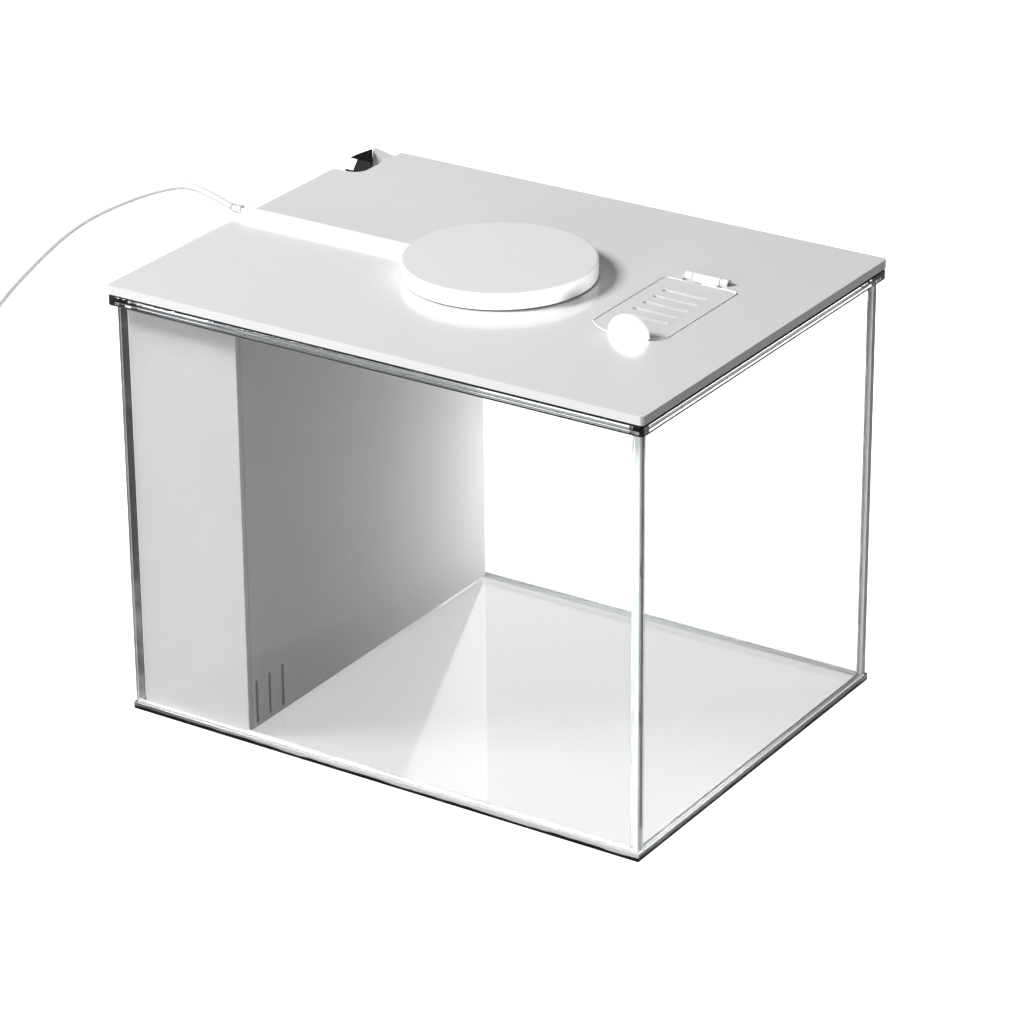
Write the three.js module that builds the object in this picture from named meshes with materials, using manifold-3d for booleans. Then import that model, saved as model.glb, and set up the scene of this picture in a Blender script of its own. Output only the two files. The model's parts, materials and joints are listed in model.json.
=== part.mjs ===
// Desktop aquarium with a filter built in at one end, a lift-off lid, a round lamp and a feeding hatch.
//
// Frame: millimetres, +Z up, the origin on the table under the middle of the tank. +X runs to the display
// end, away from the filter, and -Y is the front that faces the room.
//
// The tank is five glass panes bonded edge to edge, with a clear rim round the top. White panels close off
// its left end for the filter: water enters by three slots, rises through foam, drops through ceramic rings,
// and a small pump sends it back over the display. The lid rests on the rim and carries the lamp and the
// hatch.
import * as THREE from "three";
import Module from "manifold-3d";
import { mergeVertices } from "three/addons/utils/BufferGeometryUtils.js";

// ---------------------------------------------------------------------------------------- driving dimensions
// Tank
const TANK_WIDTH = 293; // outside of the walls, along X
const TANK_DEPTH = 220; // outside of the walls, along Y
const WALL_TOP = 218.7; // top edge of the walls
const GLASS = 4; // wall thickness
const FLOOR_GLASS = 4;
const FLOOR_LEDGE = 1; // how far the floor pane shows past the walls
const BOND = 0.3; // thickness of the joint between two panes
const BEAD = 1.6; // leg of the silicone fillet inside the joints

// Rim
const RIM_OVERHANG = 3.3; // past the outside of the walls
const RIM_INSIDE = 1; // past the inside of the walls
const RIM_GROOVE = 1.5; // how deep the glass sits in it
const RIM_OVER_GLASS = 3.1;
const FIT = 0.2; // loose fit between pieces that slip together

// Lid
const LID_OVERHANG = 3.5;
const LID_THICK = 4.5;
const LID_CORNER = 2; // radius
const PAD_HEIGHT = 1;
const PAD_RADIUS = 2.6;
const PAD_FROM_END = 30; // from the lid's short side
const STRIP_THICK = 2.5; // locating strips under the lid
const STRIP_DROP = 8;
const STRIP_PLAY = 1; // between the strips and the rim
const NOTCH_WIDTH = 16; // cable notch in the rear left corner
const NOTCH_LENGTH = 37.5;
const NOTCH_CORNER = 7;

// Filter
const FILTER_WIDTH = 64; // from the left pane to the display face of the side panel
const PANEL = 3;
const PANEL_GAP = 0.3; // between panels and what they stand against
const PANEL_BELOW_STRIP = 0.7;
const FRONT_CHAMBER = 62; // along Y
const REAR_CHAMBER = 66.7; // holds the pump; the middle chamber is what is left
const OVERFLOW_DROP = 26; // front divider below the other panels
const UNDERFLOW = 16; // gap under the rear divider
const SLOT_COUNT = 3;
const SLOT_WIDTH = 2;
const SLOT_HEIGHT = 23;
const SLOT_PITCH = 10.8;
const SLOT_FROM_END = 4; // first slot's centre from the panel's front edge
const SLOT_FROM_FLOOR = 2;
const GRID_HEIGHT = 26;
const GRID_PLATE = 2;
const GRID_SLOTS = 7;
const GRID_LEG = 5;
const MEDIA_GAP = 0.8; // all round loose media
const COARSE_FOAM = 68; // heights of the media
const FINE_FOAM = 46;
const RING_FILL = 92;

// Pump and return
const PUMP_WIDTH = 38;
const PUMP_BODY_LENGTH = 32;
const PUMP_HEIGHT = 34;
const PUMP_CORNER = 5;
const PUMP_WALL = 2.2; // of the volute and the strainer
const PUMP_FROM_REAR = 9;
const PUMP_BACK_WALL = 4; // behind the rotor's bore
const FACE_INSET = 2; // the volute and the strainer inside the body's sides
const FACE_STEP = 1; // and inside its top and foot
const STUB_RADIUS = 1.6; // what the dial turns on
const CABLE_BOOT_RADIUS = 3.4;
const CABLE_BOOT_LENGTH = 7;
const CABLE_BOOT_BELOW_TOP = 7;
const VOLUTE_LENGTH = 9;
const STRAINER_LENGTH = 7;
const DIAL_RADIUS = 8;
const DIAL_THICK = 2.6;
const CUP_RADIUS = 7;
const CUP_HEIGHT = 6;
const CUP_STEM_RADIUS = 2.45;
const CUP_STEM = 3; // up into the pump's foot
const ROTOR_RADIUS = 6.2;
const ROTOR_LENGTH = 22;
const ROTOR_CLEAR = 0.8;
const IMPELLER_RADIUS = 9;
const IMPELLER_WIDTH = 4.4;
const BLADES = 5;
const SHAFT_RADIUS = 1.1;
const SHAFT_CLEAR = 0.1;
const SPIGOT_RADIUS = 4.4;
const WATERWAY_RADIUS = 3.2;
const HOSE_WALL = 1.5;
const HOSE_GRIP = 9; // length of hose pushed over each spigot
const RETURN_BELOW_TOP = 19; // return pipe's axis below the panel's top
const RETURN_THREAD_RADIUS = 7;
const RETURN_FLANGE = 2;
const RETURN_FLANGE_RADIUS = 10.5;
const NUT_LENGTH = 4;
const NOZZLE_HUB_LENGTH = 9;
const NOZZLE_REACH = 18;
const NOZZLE_WIDTH = 20;
const NOZZLE_HEIGHT = 7;
const NOZZLE_DIP_DEG = 20;
const NOZZLE_WALL = 1.4;

// Lamp
const LAMP_X = 2.5;
const LAMP_Y = -3;
const LAMP_RADIUS = 47.5;
const LAMP_HEIGHT = 9; // top of the lamp above the lid
const LAMP_WALL = 1.9;
const LAMP_EDGE = 1; // radius of the shell's top edge
const LAMP_SHADOW_GAP = 0.8; // shell's skirt above the lid
const BASE_THICK = 1.8;
const BASE_INSET = 1.6; // base ring inside the shell
const WINDOW_RADIUS = 36;
const SCREW_CIRCLE = 40.5;
const SCREW_COUNT = 3;
const SCREW_RADIUS = 1.2;
const SCREW_HEAD_RADIUS = 2.5;
const SCREW_HEAD = 1.5;
const BOSS_RADIUS = 2.8;
const BOARD_THICK = 1.4;
const LED_COUNT = 16;
const LED_CIRCLE = 27;
const LED_SIZE = 3;
const DIFFUSER_WALL = 1.6;
const ARM_WIDTH = 7.6;
const ARM_HEIGHT = 5;
const ARM_WALL = 1.2;
const ARM_END_WALL = 5;
const ARM_END_SLOPE = 4.5; // how far the top of its end leans back
const ARM_FROM_EDGE = 0.1; // arm's end inside the lid's edge

// Hatch
const HATCH_X = 91;
const HATCH_REAR = 37.5;
const HATCH_WIDTH = 41.5;
const HATCH_SIDE_LENGTH = 66; // straight side, rear edge to where the bowed front begins
const HATCH_BOW = 9.4; // how far the front bows out
const HATCH_CORNER = 3;
const HATCH_THICK = 2.4;
const HATCH_GAP = 0.4;
const HATCH_LEDGE = 3; // what the flap rests on, all round
const VENT_COUNT = 5;
const VENT_LENGTH = 24.3;
const VENT_WIDTH = 2.2;
const VENT_PITCH = 8.9;
const VENT_FROM_REAR = 16.2; // first vent's centre from the rear edge
const TAB_WIDTH = 21.5;
const TAB_HEIGHT = 10.4;
const TAB_THICK = 2.4;
const TAB_SET_BACK = 0.8; // behind the front edge's middle
const TAB_OFFSET = 4; // to the right of the flap's middle
const TAB_TONGUE = 11;
const HINGE_LENGTH = 23.5;
const HINGE_RADIUS = 2.2;
const HINGE_EAR = 4; // length of each outer knuckle
const HINGE_BEHIND = 5.3; // axis behind the flap's rear edge
const HINGE_RISE = 0.6; // axis above the lid's face
const PIN_RADIUS = 0.8;
const PIN_CLEAR = 0.1;
const TURN_CLEAR = 0.35; // round moving pieces

// Grommet and corner cap, which share the cable notch
const GROMMET_LENGTH = 28; // from its front end to the rear of the rim
const GROMMET_RISE = 1.5; // its highest point above the lid's face
const GROMMET_SHOULDER = 0.5; // its rear end below the lid's face
const GROMMET_RAMP = 4.2; // run of the slope at its front end, and its fall
const GROMMET_RAMP_FALL = 4.6;
const GROMMET_SKIRT = 8; // down inside the rim
const GROMMET_SKIRT_LENGTH = 6;
const SKIRT_THICK = 2;
const LEAD_GROOVE = 2; // radius of the grooves for leads
const LEAD_GROOVE_RISE = 0.8; // their centres above the rim
const SPLIT_END = 2.4; // width left at the thin end of each, along Y
const SPLIT_GAP = 0.6; // between the two, along Y
const CAP_OUTER_DROP = 0.2; // top below the lid's face, at the outer side and beside the lid
const CAP_INNER_DROP = 3.2;
const NOTCH_CLEAR = 0.6;

// Lamp lead. The route is set by hand: it leaves the arm level, rises a little, and falls to the table, where
// the spare length is coiled. Only the coil and plug follow from sizes.
const CORD_DIAMETER = 3.6;
const CORD_SIDES = 8;
const CORD_STEPS = 42;
const GLAND_OUT = 5; // strain relief beyond the arm's end
const GLAND_RADIUS = 2.6;
const CORD_ROUTE = [
  [-155.5, -3, 230.3], [-160, -3, 231.5], [-166, -3, 233.3], [-172, -3, 234.9], [-178, -3, 235.9],
  [-184, -3, 235.9], [-190, -3, 234.7], [-196, -3, 232.7], [-203, -3, 230], [-212, -3, 226],
  [-222, -3, 221], [-233, -3, 215], [-244, -3, 208.4], [-255, -3, 200.8], [-266, -3, 191.8],
  [-277, -3, 181.6], [-288, -3, 170.7], [-298, -3.2, 160.3], [-308, -4, 148.6], [-317, -6, 136],
  [-324, -9.6, 122.5], [-329.3, -14.6, 108], [-333, -21, 92.5], [-335.2, -28.6, 76.6], [-336.2, -37, 60.6],
  [-336.2, -46, 45], [-335.2, -55, 30.6], [-333.6, -63.4, 18.4], [-331.6, -71, 8.8], [-329.7, -77.6, 3.4],
  [-327.7, -82.6, 2.1],
];
const COIL_X = -300;
const COIL_Y = -80;
const COIL_MEAN_RADIUS = 20;
const COIL_ROWS = 3; // turns beside each other, and layers
const PLUG_LENGTH = 18;
const PLUG_WIDTH = 15;
const PLUG_HEIGHT = 7.6;
const CONTACT_LENGTH = 12;
const CONTACT_WIDTH = 12;
const CONTACT_HEIGHT = 4.5;
const CONTACT_WALL = 0.4;
const CLEAR = 0.3; // between pieces that meet face to face

// ------------------------------------------------------------------------------------------- derived places
const halfWidth = TANK_WIDTH / 2;
const halfDepth = TANK_DEPTH / 2;
const innerX = halfWidth - GLASS;
const innerY = halfDepth - GLASS;
const wallFoot = FLOOR_GLASS + BOND;
const rimFoot = WALL_TOP - RIM_GROOVE;
const rimTop = WALL_TOP + FIT + RIM_OVER_GLASS;
const rimInnerX = innerX - RIM_INSIDE;
const rimInnerY = innerY - RIM_INSIDE;
const lidX = halfWidth + LID_OVERHANG;
const lidY = halfDepth + LID_OVERHANG;
const lidFoot = rimTop + PAD_HEIGHT;
const lidTop = lidFoot + LID_THICK;
const stripOuterX = rimInnerX - STRIP_PLAY;
const stripOuterY = rimInnerY - STRIP_PLAY;
const stripFoot = lidFoot - STRIP_DROP;
const panelTop = stripFoot - PANEL_BELOW_STRIP;
const panelFace = -innerX + FILTER_WIDTH; // display face of the side panel
const panelBack = panelFace - PANEL;
const frontPanelFront = -innerY + PANEL_GAP;
const chamberFront = frontPanelFront + PANEL; // inner face of the front panel
const dividerFrontY = chamberFront + FRONT_CHAMBER;
const dividerRearY = innerY - REAR_CHAMBER - PANEL;
const chamberMidX = (-innerX + panelBack) / 2;

// ------------------------------------------------------------------------------------------------- materials
const finish = (color, roughness, metalness = 0, more = {}) => ({ color, roughness, metalness, ...more });
const finishes = {
  glass: finish(0xdfeeee, 0.03, 0, { transparent: true, opacity: 0.25 }),
  clearPlastic: finish(0xe8eeee, 0.12, 0, { transparent: true, opacity: 0.45 }),
  silicone: finish(0xdde2e2, 0.4, 0, { transparent: true, opacity: 0.6 }),
  whiteGloss: finish(0xe9eaea, 0.22),
  whiteMatte: finish(0xe4e5e5, 0.5),
  opal: finish(0xf6f6f2, 0.35),
  blackPlastic: finish(0x1b1c1d, 0.45),
  blackRubber: finish(0x101112, 0.5),
  darkFoam: finish(0x2a2c2e, 0.95),
  blueFoam: finish(0x5a7f9c, 0.95),
  bluePlastic: finish(0x2f5f95, 0.4),
  ceramic: finish(0xd9cdb6, 0.85),
  steel: finish(0xb9bcbe, 0.3, 1),
  magnet: finish(0x3a3b3d, 0.5, 0.6),
  board: finish(0xeff0ee, 0.5),
  cordWhite: finish(0xf0f0ee, 0.45),
};

const aquarium = new THREE.Group();
function place(name, geometry, finishName) {
  const mesh = new THREE.Mesh(geometry, new THREE.MeshStandardMaterial(finishes[finishName]));
  mesh.name = name;
  aquarium.add(mesh);
}

// --------------------------------------------------------------------------------------------- shape helpers
const wasm = await Module();
wasm.setup();

function solidOf(geometry) {
  const bare = (geometry.index ? geometry.toNonIndexed() : geometry.clone()).deleteAttribute("normal");
  if (bare.getAttribute("uv")) bare.deleteAttribute("uv");
  const merged = mergeVertices(bare, 1e-4);
  const all = merged.index.array;
  const kept = [];
  for (let i = 0; i < all.length; i += 3) {
    const [a, b, c] = [all[i], all[i + 1], all[i + 2]];
    if (a !== b && b !== c && c !== a) kept.push(a, b, c);
  }
  return new wasm.Manifold(
    new wasm.Mesh({
      numProp: 3,
      vertProperties: merged.getAttribute("position").array,
      triVerts: new Uint32Array(kept),
    }),
  );
}

function geometryOf(solid) {
  const mesh = solid.getMesh();
  return new THREE.BufferGeometry()
    .setAttribute("position", new THREE.BufferAttribute(new Float32Array(mesh.vertProperties), 3))
    .setIndex(new THREE.BufferAttribute(new Uint32Array(mesh.triVerts), 1));
}

// The first geometry with the others cut out of it, or joined to it.
const cut = (base, ...tools) =>
  geometryOf(tools.reduce((left, tool) => left.subtract(solidOf(tool)), solidOf(base)));
const join = (base, ...more) =>
  geometryOf(more.reduce((whole, piece) => whole.add(solidOf(piece)), solidOf(base)));

const block = (x0, x1, y0, y1, z0, z1) =>
  new THREE.BoxGeometry(x1 - x0, y1 - y0, z1 - z0).translate((x0 + x1) / 2, (y0 + y1) / 2, (z0 + z1) / 2);

function roundedRectangle(x0, x1, y0, y1, r) {
  const s = new THREE.Shape();
  s.moveTo(x0 + r, y0);
  s.lineTo(x1 - r, y0);
  s.absarc(x1 - r, y0 + r, r, -Math.PI / 2, 0);
  s.lineTo(x1, y1 - r);
  s.absarc(x1 - r, y1 - r, r, 0, Math.PI / 2);
  s.lineTo(x0 + r, y1);
  s.absarc(x0 + r, y1 - r, r, Math.PI / 2, Math.PI);
  s.lineTo(x0, y0 + r);
  s.absarc(x0 + r, y0 + r, r, Math.PI, 1.5 * Math.PI);
  return s;
}

// A flat outline in X and Y, raised from z0 to z1.
const plate = (shape, z0, z1, curveSegments = 3) =>
  new THREE.ExtrudeGeometry(shape, { depth: z1 - z0, bevelEnabled: false, curveSegments })
    .translate(0, 0, z0);

// The same outline standing up: its X stays X, its Y becomes Z, and it runs from y0 to y1.
const standing = (shape, y0, y1, curveSegments = 3) =>
  new THREE.ExtrudeGeometry(shape, { depth: y1 - y0, bevelEnabled: false, curveSegments })
    .rotateX(Math.PI / 2)
    .translate(0, y1, 0);

// An outline whose X becomes Y and whose Y becomes Z, run along X from x0 to x1.
const lengthwise = (shape, x0, x1, curveSegments = 3) =>
  new THREE.ExtrudeGeometry(shape, { depth: x1 - x0, bevelEnabled: false, curveSegments })
    .rotateX(Math.PI / 2)
    .rotateZ(Math.PI / 2)
    .translate(x0, 0, 0);

const rod = (radius, length, segments = 20) =>
  new THREE.CylinderGeometry(radius, radius, length, segments).rotateX(Math.PI / 2);
const rodZ = (x, y, z0, z1, radius, segments = 20) =>
  rod(radius, z1 - z0, segments).translate(x, y, (z0 + z1) / 2);
const rodX = (x0, x1, y, z, radius, segments = 20) =>
  rod(radius, x1 - x0, segments).rotateY(Math.PI / 2).translate((x0 + x1) / 2, y, z);
const rodY = (x, y0, y1, z, radius, segments = 20) =>
  rod(radius, y1 - y0, segments).rotateX(Math.PI / 2).translate(x, (y0 + y1) / 2, z);

// A turned piece about the Z axis from its half section, [radius, height] pairs running anticlockwise.
const turned = (profile, segments = 48) =>
  new THREE.LatheGeometry(
    profile.map(([r, z]) => new THREE.Vector2(r, z)),
    segments,
  ).rotateX(Math.PI / 2);

const around = (count, radius) =>
  Array.from({ length: count }, (_, i) => {
    const angle = (i / count) * 2 * Math.PI;
    return [radius * Math.cos(angle), radius * Math.sin(angle), angle];
  });

// ------------------------------------------------------------------------------------------------------ tank
function addPanes() {
  const floorX = halfWidth + FLOOR_LEDGE;
  const floorY = halfDepth + FLOOR_LEDGE;
  const sideY = innerY - BOND;
  place("floor_pane", block(-floorX, floorX, -floorY, floorY, 0, FLOOR_GLASS), "glass");
  place("front_pane", block(-halfWidth, halfWidth, -halfDepth, -innerY, wallFoot, WALL_TOP), "glass");
  place("back_pane", block(-halfWidth, halfWidth, innerY, halfDepth, wallFoot, WALL_TOP), "glass");
  place("left_pane", block(-halfWidth, -innerX, -sideY, sideY, wallFoot, WALL_TOP), "glass");
  place("right_pane", block(innerX, halfWidth, -sideY, sideY, wallFoot, WALL_TOP), "glass");
}

// A triangular fillet in the corner at (a, b), leaning towards the signs given.
function fillet(a, b, towardsA, towardsB) {
  const s = new THREE.Shape();
  s.moveTo(a, b);
  const [first, second] = [[a + towardsA * BEAD, b], [a, b + towardsB * BEAD]];
  for (const point of towardsA * towardsB > 0 ? [first, second] : [second, first]) s.lineTo(...point);
  return s;
}

function addBeads() {
  const foot = FLOOR_GLASS;
  const top = rimFoot - CLEAR;
  place(
    "seal_bead_tank",
    join(
      lengthwise(fillet(-innerY, foot, 1, 1), panelFace + CLEAR, innerX),
      lengthwise(fillet(innerY, foot, -1, 1), panelFace + CLEAR, innerX),
      standing(fillet(innerX, foot, -1, 1), -innerY, innerY),
      plate(fillet(innerX, -innerY, -1, 1), foot, top),
      plate(fillet(innerX, innerY, -1, -1), foot, top),
    ),
    "silicone",
  );
  place(
    "seal_bead_filter",
    join(
      standing(fillet(-innerX, foot, 1, 1), chamberFront + CLEAR, innerY),
      lengthwise(fillet(innerY, foot, -1, 1), -innerX, panelBack - CLEAR),
      plate(fillet(-innerX, innerY, 1, -1), foot, top),
    ),
    "silicone",
  );
}

function addRim() {
  const [outX, outY] = [halfWidth + RIM_OVERHANG, halfDepth + RIM_OVERHANG];
  const frame = roundedRectangle(-outX, outX, -outY, outY, LID_CORNER);
  frame.holes.push(roundedRectangle(-rimInnerX, rimInnerX, -rimInnerY, rimInnerY, LID_CORNER / 2));
  const groove = new THREE.Shape();
  const [wideX, wideY] = [halfWidth + FIT, halfDepth + FIT];
  const [narrowX, narrowY] = [innerX - FIT, innerY - FIT];
  groove.moveTo(-wideX, -wideY).lineTo(wideX, -wideY).lineTo(wideX, wideY).lineTo(-wideX, wideY);
  const land = new THREE.Path();
  land.moveTo(-narrowX, -narrowY).lineTo(narrowX, -narrowY);
  land.lineTo(narrowX, narrowY).lineTo(-narrowX, narrowY);
  groove.holes.push(land);
  place(
    "top_rim",
    cut(plate(frame, rimFoot, rimTop), plate(groove, rimFoot - 1, WALL_TOP + FIT)),
    "clearPlastic",
  );
}

// ---------------------------------------------------------------------------------------------------- filter
const returnZ = panelTop - RETURN_BELOW_TOP;
const pumpRear = innerY - PUMP_FROM_REAR;
const pumpFront = pumpRear - PUMP_BODY_LENGTH;
const voluteFront = pumpFront - CLEAR - VOLUTE_LENGTH;
const strainerFront = voluteFront - CLEAR - STRAINER_LENGTH;
const outletY = pumpFront - CLEAR - VOLUTE_LENGTH / 2;
const pumpFoot = FLOOR_GLASS + CUP_HEIGHT;
const pumpAxisZ = pumpFoot + PUMP_HEIGHT / 2;

function addFilterPanels() {
  place(
    "filter_front_panel",
    block(-innerX + PANEL_GAP, panelFace, frontPanelFront, chamberFront, wallFoot, panelTop),
    "whiteMatte",
  );
  const sideFront = chamberFront + PANEL_GAP;
  const slots = Array.from({ length: SLOT_COUNT }, (_, i) => {
    const y = sideFront + SLOT_FROM_END + i * SLOT_PITCH;
    const z = wallFoot + SLOT_FROM_FLOOR;
    return block(panelBack - 1, panelFace + 1, y - SLOT_WIDTH / 2, y + SLOT_WIDTH / 2, z, z + SLOT_HEIGHT);
  });
  const pipeHole = rodX(panelBack - 1, panelFace + 1, outletY, returnZ, RETURN_THREAD_RADIUS + CLEAR, 32);
  place(
    "filter_side_panel",
    cut(block(panelBack, panelFace, sideFront, innerY - PANEL_GAP, wallFoot, panelTop), ...slots, pipeHole),
    "whiteMatte",
  );
  // Both dividers stop short of the side panel and of the glass, and the front one is notched over the bead.
  const [left, right] = [-innerX + PANEL_GAP, panelBack - PANEL_GAP];
  const notched = new THREE.Shape();
  const notch = BEAD + PANEL_GAP;
  notched.moveTo(left + notch, wallFoot).lineTo(right, wallFoot).lineTo(right, panelTop - OVERFLOW_DROP);
  notched.lineTo(left, panelTop - OVERFLOW_DROP).lineTo(left, wallFoot + notch);
  place("divider_front", standing(notched, dividerFrontY, dividerFrontY + PANEL), "whiteMatte");
  place(
    "divider_rear",
    block(left, right, dividerRearY, dividerRearY + PANEL, FLOOR_GLASS + UNDERFLOW, panelTop),
    "whiteMatte",
  );
}

// A slotted plate on four legs that holds the media up off the floor of a chamber.
function mediaGrid(y0, y1) {
  const [x0, x1] = [-innerX + MEDIA_GAP, panelBack - MEDIA_GAP];
  const top = FLOOR_GLASS + GRID_HEIGHT;
  const border = 4;
  const pitch = (y1 - y0 - 2 * border) / GRID_SLOTS;
  const slots = Array.from({ length: GRID_SLOTS }, (_, i) => {
    const from = y0 + border + i * pitch + pitch / 4;
    return block(x0 + border, x1 - border, from, from + pitch / 2, top - GRID_PLATE - 1, top + 1);
  });
  const legIn = BEAD + 1;
  const legs = [x0 + legIn, x1 - legIn - GRID_LEG].flatMap((x) =>
    [y0 + legIn, y1 - legIn - GRID_LEG].map((y) =>
      block(x, x + GRID_LEG, y, y + GRID_LEG, wallFoot, top - GRID_PLATE / 2),
    ),
  );
  return join(cut(block(x0, x1, y0, y1, top - GRID_PLATE, top), ...slots), ...legs);
}

function addMedia() {
  const [x0, x1] = [-innerX + MEDIA_GAP, panelBack - MEDIA_GAP];
  const foot = FLOOR_GLASS + GRID_HEIGHT + CLEAR;
  const front = [chamberFront + MEDIA_GAP, dividerFrontY - MEDIA_GAP];
  const middle = [dividerFrontY + PANEL + MEDIA_GAP, dividerRearY - MEDIA_GAP];
  const fineFoot = foot + COARSE_FOAM + CLEAR;
  place("media_grid_front", mediaGrid(...front), "blackPlastic");
  place("media_grid_rear", mediaGrid(...middle), "blackPlastic");
  place("sponge_coarse", block(x0, x1, ...front, foot, foot + COARSE_FOAM), "darkFoam");
  place("sponge_fine", block(x0, x1, ...front, fineFoot, fineFoot + FINE_FOAM), "blueFoam");
  place("ceramic_rings", block(x0, x1, ...middle, foot, foot + RING_FILL), "ceramic");
}

function addPump() {
  const [x0, x1] = [chamberMidX - PUMP_WIDTH / 2, chamberMidX + PUMP_WIDTH / 2];
  const pumpTop = pumpFoot + PUMP_HEIGHT;
  const section = roundedRectangle(x0, x1, pumpFoot, pumpTop, PUMP_CORNER);
  const bore = ROTOR_RADIUS + ROTOR_CLEAR;
  const boreEnd = pumpRear - PUMP_BACK_WALL;
  const bushLength = 3;
  const bushFront = boreEnd - bushLength;

  const cupHole = CUP_STEM_RADIUS + CLEAR;
  const cupIn = CUP_RADIUS + 0.5;
  const cupY = [pumpFront + cupIn, pumpRear - cupIn];
  const [glandX, glandZ] = [chamberMidX + PUMP_WIDTH / 4, pumpTop - CABLE_BOOT_BELOW_TOP];
  const glandNeck = CABLE_BOOT_RADIUS * 0.7;
  place(
    "pump_body",
    cut(
      standing(section, pumpFront, pumpRear),
      rodY(chamberMidX, pumpFront - 1, boreEnd, pumpAxisZ, bore, 32),
      ...cupY.map((y) => rodZ(chamberMidX, y, pumpFoot - 1, pumpFoot + CUP_STEM, cupHole)),
      rodY(glandX, boreEnd, pumpRear + 1, glandZ, glandNeck + CLEAR),
    ),
    "blackPlastic",
  );
  place(
    "pump_cable_gland",
    join(
      rodY(glandX, boreEnd + CLEAR, pumpRear + 1, glandZ, glandNeck),
      rodY(glandX, pumpRear + CLEAR, pumpRear + CABLE_BOOT_LENGTH, glandZ, CABLE_BOOT_RADIUS),
    ),
    "blackRubber",
  );

  // Volute: the impeller's round chamber, an eye in front and the outlet spigot on top.
  const chamberRadius = IMPELLER_RADIUS + 2.2;
  const eyeRadius = 5;
  const spigotTop = pumpTop + HOSE_GRIP + 3;
  const voluteBack = pumpFront - CLEAR;
  const faceOutline = (inset, corner) =>
    roundedRectangle(
      x0 + FACE_INSET + inset, x1 - FACE_INSET - inset,
      pumpFoot + FACE_STEP + inset, pumpTop - FACE_STEP - inset, corner,
    );
  place(
    "pump_volute",
    cut(
      join(
        standing(faceOutline(0, PUMP_CORNER), voluteFront, voluteBack),
        rodZ(chamberMidX, outletY, pumpAxisZ, spigotTop, SPIGOT_RADIUS),
      ),
      rodY(chamberMidX, voluteFront + PUMP_WALL, voluteBack + 1, pumpAxisZ, chamberRadius, 32),
      rodY(chamberMidX, voluteFront - 1, voluteBack, pumpAxisZ, eyeRadius),
      rodZ(chamberMidX, outletY, pumpAxisZ, spigotTop + 1, WATERWAY_RADIUS),
    ),
    "blackPlastic",
  );

  // Strainer: an open-backed cap with slots, and a boss that steadies the shaft's front end.
  const strainerBack = voluteFront - CLEAR;
  const slotCount = 6;
  const slotSpan = PUMP_WIDTH - 14;
  const [slotHalf, slotTop] = [0.8, pumpFoot + 7];
  const intakes = Array.from({ length: slotCount }, (_, i) => {
    const x = chamberMidX - slotSpan / 2 + (i * slotSpan) / (slotCount - 1);
    const [from, to] = [strainerFront - 1, strainerFront + PUMP_WALL + 1];
    return block(x - slotHalf, x + slotHalf, from, to, pumpFoot - 1, slotTop);
  });
  place(
    "pump_strainer",
    cut(
      join(
        cut(
          standing(faceOutline(0, PUMP_CORNER), strainerFront, strainerBack),
          standing(faceOutline(PUMP_WALL, 3), strainerFront + PUMP_WALL, strainerBack + 1),
          ...intakes,
        ),
        rodY(chamberMidX, strainerFront + PUMP_WALL / 2, strainerBack, pumpAxisZ, SHAFT_RADIUS + STUB_RADIUS),
      ),
      rodY(chamberMidX, strainerBack - 3, strainerBack + 1, pumpAxisZ, SHAFT_RADIUS + SHAFT_CLEAR, 16),
      rodY(chamberMidX, strainerFront - 1, strainerFront + 1.6, pumpAxisZ, STUB_RADIUS + TURN_CLEAR, 16),
    ),
    "blackPlastic",
  );

  // Dial: turns on a stub in the strainer's face, with a grip rib across it.
  const dialBack = strainerFront - TURN_CLEAR;
  const dialFront = dialBack - DIAL_THICK;
  place(
    "pump_flow_dial",
    join(
      rodY(chamberMidX, dialFront, dialBack, pumpAxisZ, DIAL_RADIUS, 32),
      rodY(chamberMidX, dialBack - 1, strainerFront + 1.2, pumpAxisZ, STUB_RADIUS, 16),
      block(chamberMidX - 1, chamberMidX + 1, dialFront - 1.8, dialFront + 0.5,
        pumpAxisZ - DIAL_RADIUS * 0.8, pumpAxisZ + DIAL_RADIUS * 0.8),
    ),
    "bluePlastic",
  );

  const shaftHole = SHAFT_RADIUS + SHAFT_CLEAR;
  const rotorFront = bushFront - 1 - ROTOR_LENGTH;
  const impellerBack = Math.min(rotorFront - CLEAR, voluteBack - 1);
  const impellerFront = impellerBack - IMPELLER_WIDTH;
  place(
    "pump_rotor",
    cut(
      rodY(chamberMidX, rotorFront, rotorFront + ROTOR_LENGTH, pumpAxisZ, ROTOR_RADIUS, 32),
      rodY(chamberMidX, rotorFront - 1, rotorFront + ROTOR_LENGTH + 1, pumpAxisZ, shaftHole, 16),
    ),
    "magnet",
  );
  const blade = (angle) =>
    new THREE.BoxGeometry(IMPELLER_RADIUS - 2.5, IMPELLER_WIDTH, 1)
      .translate((IMPELLER_RADIUS + 2.5) / 2, 0, 0)
      .rotateY(angle)
      .translate(chamberMidX, (impellerFront + impellerBack) / 2, pumpAxisZ);
  place(
    "pump_impeller",
    cut(
      join(
        rodY(chamberMidX, impellerFront, rotorFront - CLEAR / 2, pumpAxisZ, 3.2, 24),
        ...around(BLADES, 1).map(([, , angle]) => blade(angle)),
      ),
      rodY(chamberMidX, impellerFront - 1, rotorFront + 1, pumpAxisZ, shaftHole, 16),
    ),
    "whiteGloss",
  );
  place(
    "pump_shaft",
    rodY(chamberMidX, strainerBack - 2.6, boreEnd - CLEAR, pumpAxisZ, SHAFT_RADIUS, 16),
    "ceramic",
  );
  place(
    "shaft_bush",
    cut(
      rodY(chamberMidX, bushFront, boreEnd - CLEAR, pumpAxisZ, bore - CLEAR, 24),
      rodY(chamberMidX, bushFront - 1, boreEnd + 1, pumpAxisZ, shaftHole, 16),
    ),
    "blackRubber",
  );

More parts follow.
